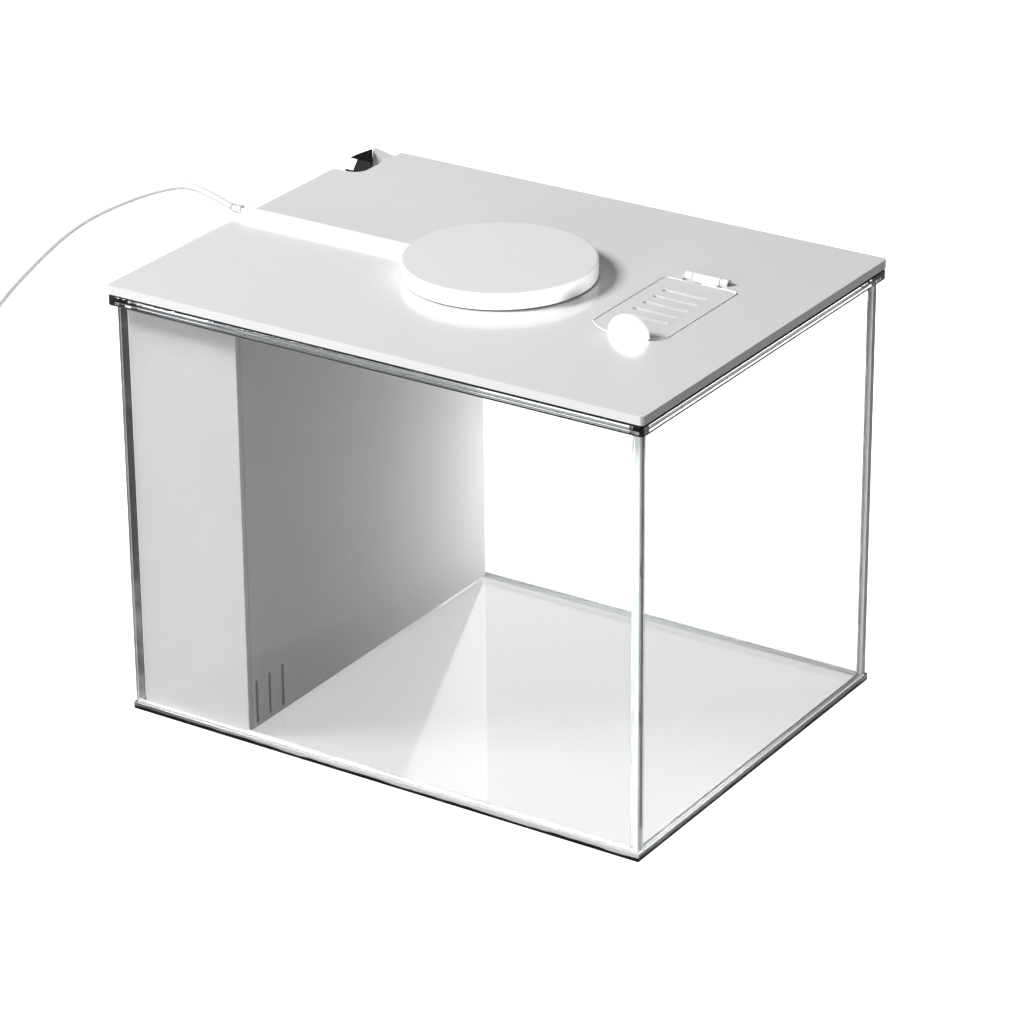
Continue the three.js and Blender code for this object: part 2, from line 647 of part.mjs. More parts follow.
  const [cupTop, stemTop] = [CUP_HEIGHT - CLEAR, CUP_HEIGHT + CUP_STEM - CLEAR];
  const cup = turned([
    [0, 0.6], [CUP_RADIUS * 0.6, 0.2], [CUP_RADIUS, 0], [CUP_RADIUS, 0.5],
    [CUP_RADIUS * 0.5, CUP_HEIGHT - 2.4], [CUP_RADIUS * 0.5, cupTop], [CUP_STEM_RADIUS, cupTop],
    [CUP_STEM_RADIUS, stemTop], [0, stemTop],
  ], 16);
  ["suction_cup_front", "suction_cup_rear"].forEach((name, i) =>
    place(name, cup.clone().translate(chamberMidX, cupY[i], FLOOR_GLASS), "silicone"),
  );
  return spigotTop;
}

function addReturn(spigotTop) {
  const elbowFoot = returnZ - SPIGOT_RADIUS - HOSE_GRIP - 4;
  const hoseFoot = spigotTop - HOSE_GRIP;
  const hoseTop = elbowFoot + HOSE_GRIP;
  const hoseBore = SPIGOT_RADIUS + FIT;
  place(
    "riser_hose",
    cut(
      rodZ(chamberMidX, outletY, hoseFoot, hoseTop, hoseBore + HOSE_WALL),
      rodZ(chamberMidX, outletY, hoseFoot - 1, hoseTop + 1, hoseBore),
    ),
    "silicone",
  );

  // Elbow: up out of the hose, round to +X, through the panel and on into the nozzle's hub.
  const pipeEnd = panelFace + CLEAR + NUT_LENGTH + NOZZLE_HUB_LENGTH - 1;
  const neck = SPIGOT_RADIUS + 1.2;
  const threadEnd = panelFace + CLEAR + NUT_LENGTH;
  place(
    "return_elbow",
    cut(
      join(
        rodZ(chamberMidX, outletY, elbowFoot, returnZ, SPIGOT_RADIUS),
        new THREE.SphereGeometry(neck, 20, 10).translate(chamberMidX, outletY, returnZ),
        rodX(chamberMidX, pipeEnd, outletY, returnZ, neck),
        rodX(panelBack - CLEAR - RETURN_FLANGE, panelBack - CLEAR, outletY, returnZ, RETURN_FLANGE_RADIUS),
        rodX(panelBack - CLEAR - RETURN_FLANGE, threadEnd, outletY, returnZ, RETURN_THREAD_RADIUS),
      ),
      rodZ(chamberMidX, outletY, elbowFoot - 1, returnZ, WATERWAY_RADIUS),
      rodX(chamberMidX, pipeEnd + 1, outletY, returnZ, WATERWAY_RADIUS),
      new THREE.SphereGeometry(WATERWAY_RADIUS, 12, 8).translate(chamberMidX, outletY, returnZ),
    ),
    "blackPlastic",
  );
  place(
    "return_nut",
    cut(
      rodX(panelFace + CLEAR, threadEnd - CLEAR, outletY, returnZ, RETURN_FLANGE_RADIUS, 6),
      rodX(panelFace, threadEnd, outletY, returnZ, RETURN_THREAD_RADIUS + CLEAR),
    ),
    "blackPlastic",
  );

  // Nozzle: a hub that turns on the pipe, and a flat spout that dips towards the water.
  const hubStart = threadEnd + TURN_CLEAR;
  const hubEnd = hubStart + NOZZLE_HUB_LENGTH + NOZZLE_WALL;
  const hubBore = neck + TURN_CLEAR;
  const spout = (width, height, from, to) =>
    block(from, to, -width / 2, width / 2, -height / 2, height / 2)
      .rotateY(THREE.MathUtils.degToRad(NOZZLE_DIP_DEG))
      .translate(hubEnd - 2, outletY, returnZ);
  place(
    "return_nozzle",
    cut(
      join(
        rodX(hubStart, hubEnd, outletY, returnZ, hubBore + NOZZLE_WALL, 32),
        spout(NOZZLE_WIDTH, NOZZLE_HEIGHT, -1, NOZZLE_REACH),
      ),
      rodX(hubStart - 1, hubEnd - NOZZLE_WALL, outletY, returnZ, hubBore, 32),
      spout(NOZZLE_WIDTH - 2 * NOZZLE_WALL, NOZZLE_HEIGHT - 2 * NOZZLE_WALL, -NOZZLE_WALL, NOZZLE_REACH + 1),
      rodX(hubEnd - NOZZLE_WALL - 1, hubEnd, outletY, returnZ, WATERWAY_RADIUS - 1),
    ),
    "blackPlastic",
  );
}

// ------------------------------------------------------------------------------------------------------- lid
// The flap's outline, grown all round: straight sides and rear, and a front that bows out in one arc.
function hatchOutline(grow) {
  const half = HATCH_WIDTH / 2 + grow;
  const [x0, x1] = [HATCH_X - half, HATCH_X + half];
  const rear = HATCH_REAR + grow;
  const front = HATCH_REAR - HATCH_SIDE_LENGTH;
  const bow = HATCH_BOW + grow;
  const radius = (half * half + bow * bow) / (2 * bow);
  const sweep = Math.asin(half / radius);
  const corner = Math.max(HATCH_CORNER + grow, 0.5);
  const s = new THREE.Shape();
  s.moveTo(x0, front);
  s.absarc(HATCH_X, front - bow + radius, radius, -Math.PI / 2 - sweep, -Math.PI / 2 + sweep);
  s.lineTo(x1, rear - corner);
  s.absarc(x1 - corner, rear - corner, corner, 0, Math.PI / 2);
  s.lineTo(x0 + corner, rear);
  s.absarc(x0 + corner, rear - corner, corner, Math.PI / 2, Math.PI);
  s.lineTo(x0, front);
  return s;
}

const hingeY = HATCH_REAR + HINGE_BEHIND;
const hingeZ = lidTop + HINGE_RISE;
const flapTop = lidTop;
const flapFoot = flapTop - HATCH_THICK;
const ledgeTop = flapFoot - FIT;
const screwPlaces = around(SCREW_COUNT, SCREW_CIRCLE).map(([x, y]) => [LAMP_X + x, LAMP_Y + y]);

function lidOutline() {
  const s = new THREE.Shape();
  const r = LID_CORNER;
  const [x0, x1, y0, y1] = [-lidX, lidX, -lidY, lidY];
  const [notchX, notchY] = [x0 + NOTCH_WIDTH, y1 - NOTCH_LENGTH];
  s.moveTo(x0 + r, y0);
  s.lineTo(x1 - r, y0);
  s.absarc(x1 - r, y0 + r, r, -Math.PI / 2, 0);
  s.lineTo(x1, y1 - r);
  s.absarc(x1 - r, y1 - r, r, 0, Math.PI / 2);
  s.lineTo(notchX, y1);
  s.lineTo(notchX, notchY + NOTCH_CORNER);
  s.absarc(notchX - NOTCH_CORNER, notchY + NOTCH_CORNER, NOTCH_CORNER, 0, -Math.PI / 2, true);
  s.lineTo(x0, notchY);
  s.lineTo(x0, y0 + r);
  s.absarc(x0 + r, y0 + r, r, Math.PI, 1.5 * Math.PI);
  return s;
}

function addLid() {
  const pocketFloor = hingeZ - HINGE_RADIUS - TURN_CLEAR;
  const [hingeX0, hingeX1] = [HATCH_X - HINGE_LENGTH / 2, HATCH_X + HINGE_LENGTH / 2];
  const pocketRear = hingeY + HINGE_RADIUS + TURN_CLEAR;
  const ear = (x0, x1) =>
    join(
      rodX(x0, x1, hingeY, hingeZ, HINGE_RADIUS, 20),
      block(x0, x1, hingeY - HINGE_RADIUS, pocketRear, pocketFloor - 0.5, hingeZ),
    );
  const carved = cut(
    plate(lidOutline(), lidFoot, lidTop, 4),
    rodZ(LAMP_X, LAMP_Y, lidFoot - 1, lidTop + 1, WINDOW_RADIUS, 48),
    ...screwPlaces.map(([x, y]) => rodZ(x, y, lidFoot - 1, lidTop + 1, SCREW_RADIUS + CLEAR, 12)),
    plate(hatchOutline(HATCH_GAP), ledgeTop, lidTop + 1, 8),
    plate(hatchOutline(-HATCH_LEDGE), lidFoot - 1, lidTop, 8),
    block(hingeX0, hingeX1, HATCH_REAR, pocketRear, pocketFloor, lidTop + 1),
  );
  place(
    "lid_plate",
    cut(
      join(carved, ear(hingeX0, hingeX0 + HINGE_EAR), ear(hingeX1 - HINGE_EAR, hingeX1)),
      rodX(hingeX0 - 1, hingeX1 + 1, hingeY, hingeZ, PIN_RADIUS + PIN_CLEAR, 12),
    ),
    "whiteGloss",
  );
  place("hinge_pin", rodX(hingeX0 + 0.2, hingeX1 - 0.2, hingeY, hingeZ, PIN_RADIUS, 12), "steel");

  // Strips under the lid that drop inside the rim. The left and rear ones stop clear of the cable notch.
  const [ix, iy] = [stripOuterX - STRIP_THICK, stripOuterY - STRIP_THICK];
  const notchY = lidY - NOTCH_LENGTH - 2;
  const notchX = -lidX + NOTCH_WIDTH + 1;
  const strip = (name, x0, x1, y0, y1) =>
    place(name, block(x0, x1, y0, y1, stripFoot, lidFoot), "clearPlastic");
  strip("lid_strip_front", -stripOuterX, stripOuterX, -stripOuterY, -iy);
  strip("lid_strip_rear", notchX, stripOuterX, iy, stripOuterY);
  strip("lid_strip_left", -stripOuterX, -ix, -iy + CLEAR, notchY);
  strip("lid_strip_right", ix, stripOuterX, -iy + CLEAR, iy - CLEAR);

  const padX = lidX - PAD_FROM_END;
  const padY = (halfDepth + RIM_OVERHANG + rimInnerY) / 2;
  for (const [side, x] of [["left", -padX], ["right", padX]])
    for (const [end, y] of [["front", -padY], ["rear", padY]])
      place(`lid_pad_${end}_${side}`, rodZ(x, y, rimTop, lidFoot, PAD_RADIUS, 12), "silicone");
}

function addHatch() {
  const vents = Array.from({ length: VENT_COUNT }, (_, i) => {
    const y = HATCH_REAR - VENT_FROM_REAR - i * VENT_PITCH;
    const half = VENT_LENGTH / 2;
    const slot = roundedRectangle(
      HATCH_X - half, HATCH_X + half, y - VENT_WIDTH / 2, y + VENT_WIDTH / 2, VENT_WIDTH / 2 - 0.01,
    );
    return plate(slot, flapFoot - 1, flapTop + 1);
  });
  const tabFront = HATCH_REAR - HATCH_SIDE_LENGTH - HATCH_BOW + TAB_SET_BACK;
  const tongueInset = 0.4;
  const tongueSlot = block(
    HATCH_X - TAB_TONGUE / 2 - FIT, HATCH_X + TAB_TONGUE / 2 + FIT,
    tabFront + tongueInset - FIT, tabFront + TAB_THICK - tongueInset + FIT, flapFoot - 1, flapTop + 1,
  );
  const knuckleHalf = HINGE_LENGTH / 2 - HINGE_EAR - TURN_CLEAR;
  const [knuckle0, knuckle1] = [HATCH_X - knuckleHalf, HATCH_X + knuckleHalf];
  place(
    "hatch_flap",
    cut(
      join(
        plate(hatchOutline(0), flapFoot, flapTop, 8),
        block(knuckle0, knuckle1, HATCH_REAR - 1, hingeY, hingeZ - HINGE_RADIUS + 0.1, flapTop),
        rodX(knuckle0, knuckle1, hingeY, hingeZ, HINGE_RADIUS, 20),
      ),
      ...vents,
      tongueSlot,
      rodX(knuckle0 - 1, knuckle1 + 1, hingeY, hingeZ, PIN_RADIUS + PIN_CLEAR, 12),
    ),
    "whiteGloss",
  );
  const dome = new THREE.Shape();
  dome.absellipse(HATCH_X + TAB_OFFSET, flapTop + FIT, TAB_WIDTH / 2, TAB_HEIGHT, 0, Math.PI);
  place(
    "hatch_tab",
    join(
      standing(dome, tabFront, tabFront + TAB_THICK, 12),
      block(HATCH_X - TAB_TONGUE / 2, HATCH_X + TAB_TONGUE / 2, tabFront + tongueInset,
        tabFront + TAB_THICK - tongueInset, flapFoot + 0.1, flapTop + 1),
    ),
    "whiteGloss",
  );
}

// What fills the lid's notch, divided from corner to corner: a black grommet in front that clips inside the
// rim, and a white cap behind whose top falls away towards the lid. Leads pass over the rim in grooves below.
function addCornerFittings() {
  const outer = -halfWidth - RIM_OVERHANG;
  const inner = -lidX + NOTCH_WIDTH - NOTCH_CLEAR;
  const rear = halfDepth + RIM_OVERHANG;
  const front = rear - GROMMET_LENGTH;
  const splitOuterY = rear - SPLIT_END;
  const splitInnerY = front + SPLIT_END;
  // What lies to one side of the dividing line: edgeY is how far that side reaches.
  const side = (gap, edgeY) => {
    const s = new THREE.Shape();
    s.moveTo(outer - 1, splitOuterY - gap).lineTo(outer, splitOuterY - gap);
    s.lineTo(inner, splitInnerY - gap).lineTo(inner + 1, splitInnerY - gap);
    s.lineTo(inner + 1, edgeY).lineTo(outer - 1, edgeY);
    return plate(s, rimTop - 1, lidTop + GROMMET_RISE + 1);
  };
  const grooves = [1 / 3, 2 / 3].map((share) =>
    rodX(outer - 1, inner + 1, front + share * GROMMET_LENGTH, rimTop + LEAD_GROOVE_RISE, LEAD_GROOVE, 12),
  );

  const crest = lidTop + GROMMET_RISE;
  const profile = new THREE.Shape();
  profile.moveTo(front, rimTop).lineTo(rear, rimTop).lineTo(rear, lidTop - GROMMET_SHOULDER);
  profile.quadraticCurveTo((front + rear) / 2, crest, front + GROMMET_RAMP, crest);
  profile.lineTo(front, crest - GROMMET_RAMP_FALL);
  const skirtOuter = -rimInnerX + FIT;
  const skirtFront = front + 1;
  const skirt = block(skirtOuter, skirtOuter + SKIRT_THICK, skirtFront, skirtFront + GROMMET_SKIRT_LENGTH,
    rimTop - GROMMET_SKIRT, rimTop + 1);
  place(
    "cable_grommet",
    join(cut(lengthwise(profile, outer, inner, 6), side(SPLIT_GAP, rear + 1), ...grooves), skirt),
    "blackRubber",
  );

  const wedge = new THREE.Shape();
  wedge.moveTo(outer, rimTop).lineTo(inner, rimTop);
  wedge.lineTo(inner, lidTop - CAP_INNER_DROP).lineTo(outer, lidTop - CAP_OUTER_DROP);
  place("corner_cap", cut(standing(wedge, front, rear), side(0, front - 1), ...grooves), "whiteGloss");
}

// ------------------------------------------------------------------------------------------------------ lamp
const shellTop = lidTop + LAMP_HEIGHT;
const shellFoot = lidTop + LAMP_SHADOW_GAP;
const shellRoof = shellTop - LAMP_WALL;
const shellBore = LAMP_RADIUS - LAMP_WALL;
const baseTop = lidTop + BASE_THICK;
const armCentreZ = lidTop + ARM_HEIGHT / 2;
const armEnd = -lidX + ARM_FROM_EDGE;
const armRight = LAMP_X - LAMP_RADIUS - CLEAR;

function addLamp() {
  const at = (geometry) => geometry.translate(LAMP_X, LAMP_Y, 0);
  const edge = Array.from({ length: 4 }, (_, i) => {
    const angle = (i / 3) * (Math.PI / 2);
    const [out, up] = [LAMP_EDGE * Math.cos(angle), LAMP_EDGE * Math.sin(angle)];
    return [LAMP_RADIUS - LAMP_EDGE + out, shellTop - LAMP_EDGE + up];
  });
  const bosses = screwPlaces.map(([x, y]) => rodZ(x, y, baseTop + CLEAR, shellRoof + 0.5, BOSS_RADIUS, 16));
  const pilots = screwPlaces.map(([x, y]) =>
    rodZ(x, y, baseTop - 1, shellRoof - FIT, SCREW_RADIUS + FIT, 12),
  );
  const leadPath = block(-lidX, LAMP_X - WINDOW_RADIUS, LAMP_Y - CORD_DIAMETER / 2 - CLEAR,
    LAMP_Y + CORD_DIAMETER / 2 + CLEAR, lidTop - 1, armCentreZ + CORD_DIAMETER / 2 + CLEAR);
  place(
    "lamp_shell",
    cut(
      join(
        at(turned([[0, shellRoof], [shellBore, shellRoof], [shellBore, shellFoot], [LAMP_RADIUS, shellFoot],
          ...edge, [0, shellTop]], 48)),
        ...bosses,
      ),
      ...pilots,
      leadPath,
    ),
    "whiteGloss",
  );
  const baseRadius = shellBore - BASE_INSET;
  const flangeRadius = WINDOW_RADIUS + 1;
  place(
    "lamp_base",
    cut(
      at(turned([[flangeRadius + CLEAR, lidTop], [baseRadius, lidTop], [baseRadius, baseTop],
        [flangeRadius + CLEAR, baseTop], [flangeRadius + CLEAR, lidTop]])),
      ...screwPlaces.map(([x, y]) => rodZ(x, y, lidTop - 1, baseTop + 1, SCREW_RADIUS + CLEAR, 12)),
      leadPath,
    ),
    "whiteMatte",
  );
  const boardTop = shellRoof - CLEAR;
  const boardFoot = boardTop - BOARD_THICK;
  const boardRadius = SCREW_CIRCLE - BOSS_RADIUS - CLEAR;
  const chips = around(LED_COUNT, LED_CIRCLE).map(([x, y, angle]) =>
    new THREE.BoxGeometry(LED_SIZE, LED_SIZE, 1.2)
      .rotateZ(angle)
      .translate(LAMP_X + x, LAMP_Y + y, boardFoot - 0.2),
  );
  place("led_board", join(rodZ(LAMP_X, LAMP_Y, boardFoot, boardTop, boardRadius, 48), ...chips), "board");
  const cupRadius = WINDOW_RADIUS - CLEAR;
  const cupFoot = lidFoot + FIT;
  const flangeFoot = lidTop + FIT;
  place(
    "lamp_diffuser",
    at(turned([[0, cupFoot], [cupRadius, cupFoot], [cupRadius, flangeFoot], [flangeRadius, flangeFoot],
      [flangeRadius, flangeFoot + 1.2], [cupRadius - DIFFUSER_WALL, flangeFoot + 1.2],
      [cupRadius - DIFFUSER_WALL, cupFoot + DIFFUSER_WALL], [0, cupFoot + DIFFUSER_WALL]])),
    "opal",
  );
  screwPlaces.forEach(([x, y], i) =>
    place(
      `lamp_screw_${i + 1}`,
      join(
        rodZ(x, y, lidFoot - SCREW_HEAD, lidFoot, SCREW_HEAD_RADIUS, 16),
        rodZ(x, y, lidFoot - 0.5, shellRoof - 2, SCREW_RADIUS, 12),
      ),
      "steel",
    ),
  );

  // Arm: a rounded cover strip over the lead, open underneath, with a wall at its outer end for the gland.
  const section = new THREE.Shape();
  const [y0, y1] = [LAMP_Y - ARM_WIDTH / 2, LAMP_Y + ARM_WIDTH / 2];
  section.moveTo(y0, lidTop);
  section.lineTo(y1, lidTop);
  section.lineTo(y1, lidTop + ARM_HEIGHT * 0.45);
  section.absellipse(LAMP_Y, lidTop + ARM_HEIGHT * 0.45, ARM_WIDTH / 2, ARM_HEIGHT * 0.55, 0, Math.PI);
  const channelTop = armCentreZ + CORD_DIAMETER / 2 - 0.1;
  const leaning = new THREE.Shape();
  leaning.moveTo(armEnd, lidTop + 1).lineTo(armEnd + ARM_END_SLOPE, lidTop + ARM_HEIGHT);
  leaning.lineTo(armEnd + ARM_END_SLOPE, lidTop + ARM_HEIGHT + 1).lineTo(armEnd - 1, lidTop + ARM_HEIGHT + 1);
  leaning.lineTo(armEnd - 1, lidTop + 1);
  place(
    "lamp_arm",
    cut(
      lengthwise(section, armEnd, armRight, 6),
      block(armEnd + ARM_END_WALL, armRight + 1, y0 + ARM_WALL, y1 - ARM_WALL, lidTop - 1, channelTop),
      rodX(armEnd - 1, armEnd + ARM_END_WALL + 1, LAMP_Y, armCentreZ, GLAND_RADIUS * 0.6 + CLEAR, 16),
      standing(leaning, y0 - 1, y1 + 1),
    ),
    "whiteGloss",
  );
}

// ------------------------------------------------------------------------------------------------------ cord
function addCord() {
  // The lead inside the arm, from the gland to the lamp.
  const wireRadius = 1.3;
  place("lamp_wire",
    rodX(armEnd + ARM_END_WALL + 1.2, LAMP_X - SCREW_CIRCLE + 2, LAMP_Y, armCentreZ - 0.4, wireRadius, 10),
    "cordWhite");
  const neck = GLAND_RADIUS * 0.6;
  const inner = armEnd + ARM_END_WALL;
  const tip = CORD_DIAMETER / 2 + 0.3;
  // Along X: a stub through the arm's end wall, then a taper that the lead leaves.
  place(
    "cord_gland",
    join(
      rodX(armEnd - 1, inner + 0.6, LAMP_Y, armCentreZ, neck, 16),
      new THREE.CylinderGeometry(GLAND_RADIUS, tip, GLAND_OUT, 20)
        .rotateZ(-Math.PI / 2)
        .translate(armEnd - CLEAR / 2 - GLAND_OUT / 2, LAMP_Y, armCentreZ),
    ),
    "cordWhite",
  );

  const points = CORD_ROUTE.map((point) => new THREE.Vector3(...point));
  const route = new THREE.CatmullRomCurve3(points, false, "centripetal");
  const section = new THREE.Shape();
  for (let i = 0; i < CORD_SIDES; i++) {
    const angle = ((i + 0.5) / CORD_SIDES) * 2 * Math.PI;
    const point = [(CORD_DIAMETER / 2) * Math.cos(angle), (CORD_DIAMETER / 2) * Math.sin(angle)];
    if (i) section.lineTo(...point);
    else section.moveTo(...point);
  }
  const swept = new THREE.ExtrudeGeometry(section, { steps: CORD_STEPS, extrudePath: route });
  place("lamp_cord", swept, "cordWhite");

  const pitch = CORD_DIAMETER + 0.1;
  const half = (COIL_ROWS * pitch) / 2;
  const [inside, outside, top] = [COIL_MEAN_RADIUS - half, COIL_MEAN_RADIUS + half, COIL_ROWS * pitch + 0.1];
  place(
    "cord_coil",
    turned([[inside, 0.1], [outside, 0.1], [outside, top], [inside, top], [inside, 0.1]], 40)
      .translate(COIL_X, COIL_Y, 0),
    "cordWhite",
  );

  // The plug lies on the coil, its tail where the last turn comes up, its contacts towards -Y.
  const plugX = COIL_X - COIL_MEAN_RADIUS + 2;
  const plugFoot = top + CLEAR;
  const body = roundedRectangle(
    plugX - PLUG_WIDTH / 2, plugX + PLUG_WIDTH / 2, plugFoot, plugFoot + PLUG_HEIGHT, 2,
  );
  place("usb_plug", standing(body, COIL_Y - PLUG_LENGTH, COIL_Y, 4), "cordWhite");
  const contactZ = plugFoot + PLUG_HEIGHT / 2;
  const contactBack = COIL_Y - PLUG_LENGTH - CLEAR;
  const tongueHalf = CONTACT_WIDTH / 2 - CONTACT_WALL - 0.2;
  const shell = (inset, y0) =>
    block(plugX - CONTACT_WIDTH / 2 + inset, plugX + CONTACT_WIDTH / 2 - inset, y0, contactBack - inset * 2,
      contactZ - CONTACT_HEIGHT / 2 + inset, contactZ + CONTACT_HEIGHT / 2 - inset);
  place(
    "usb_contact",
    join(
      cut(shell(0, contactBack - CONTACT_LENGTH), shell(CONTACT_WALL, contactBack - CONTACT_LENGTH - 1)),
      block(plugX - tongueHalf, plugX + tongueHalf, contactBack - CONTACT_LENGTH + 1, contactBack - 0.2,
        contactZ - CONTACT_HEIGHT / 2 + 0.2, contactZ - 0.3),
    ),
    "steel",
  );
}

addPanes();
addBeads();
addRim();
addFilterPanels();
addMedia();
addReturn(addPump());
addLid();
addHatch();
addCornerFittings();
addLamp();
addCord();

export default aquarium;
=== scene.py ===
import json
from math import atan2, cos, pi, radians, sin, sqrt

import bmesh
import bpy
from mathutils import Matrix, Vector, noise
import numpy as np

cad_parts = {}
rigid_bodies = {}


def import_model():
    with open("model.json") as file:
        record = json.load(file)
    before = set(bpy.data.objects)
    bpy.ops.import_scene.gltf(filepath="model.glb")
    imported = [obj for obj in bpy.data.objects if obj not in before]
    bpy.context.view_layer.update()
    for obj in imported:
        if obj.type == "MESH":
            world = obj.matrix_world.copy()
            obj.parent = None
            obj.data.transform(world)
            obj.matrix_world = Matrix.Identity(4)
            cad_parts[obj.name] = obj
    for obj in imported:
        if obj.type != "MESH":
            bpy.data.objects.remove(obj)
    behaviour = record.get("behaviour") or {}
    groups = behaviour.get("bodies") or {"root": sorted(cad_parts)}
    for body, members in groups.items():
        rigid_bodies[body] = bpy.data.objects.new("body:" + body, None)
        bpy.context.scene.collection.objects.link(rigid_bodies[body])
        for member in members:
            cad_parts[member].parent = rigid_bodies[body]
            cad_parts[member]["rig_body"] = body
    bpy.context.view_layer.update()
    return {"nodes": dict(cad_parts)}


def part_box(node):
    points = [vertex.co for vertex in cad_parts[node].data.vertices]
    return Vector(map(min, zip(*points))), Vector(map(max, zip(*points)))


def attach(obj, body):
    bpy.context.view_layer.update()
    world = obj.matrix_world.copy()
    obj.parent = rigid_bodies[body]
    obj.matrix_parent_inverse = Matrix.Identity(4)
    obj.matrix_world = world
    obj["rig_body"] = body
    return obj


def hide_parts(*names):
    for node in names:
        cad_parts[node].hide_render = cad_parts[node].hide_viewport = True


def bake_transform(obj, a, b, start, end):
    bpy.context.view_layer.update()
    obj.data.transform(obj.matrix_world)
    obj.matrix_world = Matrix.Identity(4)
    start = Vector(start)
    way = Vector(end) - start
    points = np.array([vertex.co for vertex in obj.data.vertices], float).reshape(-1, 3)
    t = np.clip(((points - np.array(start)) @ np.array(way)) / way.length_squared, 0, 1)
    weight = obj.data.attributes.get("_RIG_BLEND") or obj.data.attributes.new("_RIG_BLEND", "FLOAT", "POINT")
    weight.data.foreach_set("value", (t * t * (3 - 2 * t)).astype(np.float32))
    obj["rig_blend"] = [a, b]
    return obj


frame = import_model()

# -------------------- glass panes
# Five panes of clear float glass: a floor with four walls standing on it. Each is cut to size, its edges are
# ground flat and polished with a small arris, and the panes are bonded where they meet.
MM = 0.001
GLASS_IOR = 1.5


def feed(tree, node, sockets):
    """Fills a node's sockets by values or by links."""
    for key, value in sockets.items():
        if isinstance(value, bpy.types.NodeSocket):
            tree.links.new(value, node.inputs[key])
        else:
            node.inputs[key].default_value = value


def put(tree, kind, sockets=(), **settings):
    """A node in a tree, with its settings made and its sockets filled."""
    made = tree.nodes.new(kind)
    for name, value in settings.items():
        setattr(made, name, value)
    feed(tree, made, dict(sockets))
    return made


def mapped(tree, value, given=(0, 1), to=(0, 1)):
    """A value that runs over one range, spread over another."""
    ends = zip(("From Min", "From Max", "To Min", "To Max"), (*given, *to))
    return put(tree, "ShaderNodeMapRange", {0: value, **dict(ends)}).outputs[0]


def sums(tree, a, b, operation="ADD"):
    """Two values put together, added unless another operation is named."""
    return put(tree, "ShaderNodeMath", {0: a, 1: b}, operation=operation).outputs[0]


def cloudy(tree, place, scale, detail=2.0, distortion=0.0):
    """Soft noise on the given coordinates."""
    sockets = {"Vector": place, "Scale": scale, "Detail": detail, "Distortion": distortion}
    return put(tree, "ShaderNodeTexNoise", sockets).outputs[0]


def shades(tree, value, first, last, start=0.0, end=1.0):
    """A colour ramp with one colour up to a value and another from a second value on."""
    made = put(tree, "ShaderNodeValToRGB", {0: value})
    for element, at, colour in zip(made.color_ramp.elements, (start, end), (first, last)):
        element.position = at
        element.color = (*colour, 1)
    return made.outputs[0]


def bumpy(tree, shader, height, strength, distance):
    """Fine relief on a material, from a height."""
    bump = put(tree, "ShaderNodeBump", {"Height": height, "Strength": strength, "Distance": distance})
    tree.links.new(bump.outputs[0], shader.inputs["Normal"])


def new_group(name, kind, inputs, outputs):
    """An empty node group with its named sockets, and its input and output nodes."""
    group = bpy.data.node_groups.new(name, kind)
    for label, socket, value in inputs:
        made = group.interface.new_socket(label, in_out="INPUT", socket_type=socket)
        if value is not None:
            made.default_value = value
    for label, socket in outputs:
        group.interface.new_socket(label, in_out="OUTPUT", socket_type=socket)
    return group, group.nodes.new("NodeGroupInput").outputs, group.nodes.new("NodeGroupOutput")


def handled_group():
    """Finger smears and dried drops: where a surface that is handled shines less than the rest."""
    group, given, out = new_group(
        "handled_surface",
        "ShaderNodeTree",
        [("Vector", "NodeSocketVector", None), ("Clean", "NodeSocketFloat", 0.02),
         ("Smeared", "NodeSocketFloat", 0.08), ("Scale", "NodeSocketFloat", 18.0)],
        [("Roughness", "NodeSocketFloat"), ("Smear", "NodeSocketFloat")],
    )
    stretch = put(group, "ShaderNodeMapping", {"Vector": given["Vector"], "Scale": (1.0, 1.0, 0.35)})
    smear = cloudy(group, stretch.outputs[0], given["Scale"], 5.0, 0.8)
    drops = put(group, "ShaderNodeTexVoronoi", {"Vector": given["Vector"], "Scale": 160.0})
    wide = mapped(group, smear, (0.64, 0.8))
    spots = mapped(group, drops.outputs["Distance"], (0.14, 0.08), (0, 0.5))
    mark = sums(group, wide, spots, "MULTIPLY")
    both = sums(group, wide, mark, "MAXIMUM")
    rough = mapped(group, both, to=(given["Clean"], given["Smeared"]))
    group.links.new(rough, out.inputs["Roughness"])
    group.links.new(both, out.inputs["Smear"])
    return group


HANDLED = handled_group()


def start_finish(name):
    """A new material, its tree, its Principled node and the object's own coordinates."""
    made = bpy.data.materials.new(name)
    made.use_nodes = True
    tree = made.node_tree
    place = put(tree, "ShaderNodeTexCoord").outputs["Object"]
    return made, tree, tree.nodes["Principled BSDF"], place


def let_lamps_through(tree, shader, tint):
    """Clear pieces pass the lamps' light straight on, so what stands behind them is lit."""
    straight = put(tree, "ShaderNodeBsdfTransparent", {"Color": (*tint, 1)})
    path = put(tree, "ShaderNodeLightPath")
    mix = put(tree, "ShaderNodeMixShader",
              {0: path.outputs["Is Shadow Ray"], 1: shader.outputs[0], 2: straight.outputs[0]})
    tree.links.new(mix.outputs[0], tree.nodes["Material Output"].inputs["Surface"])


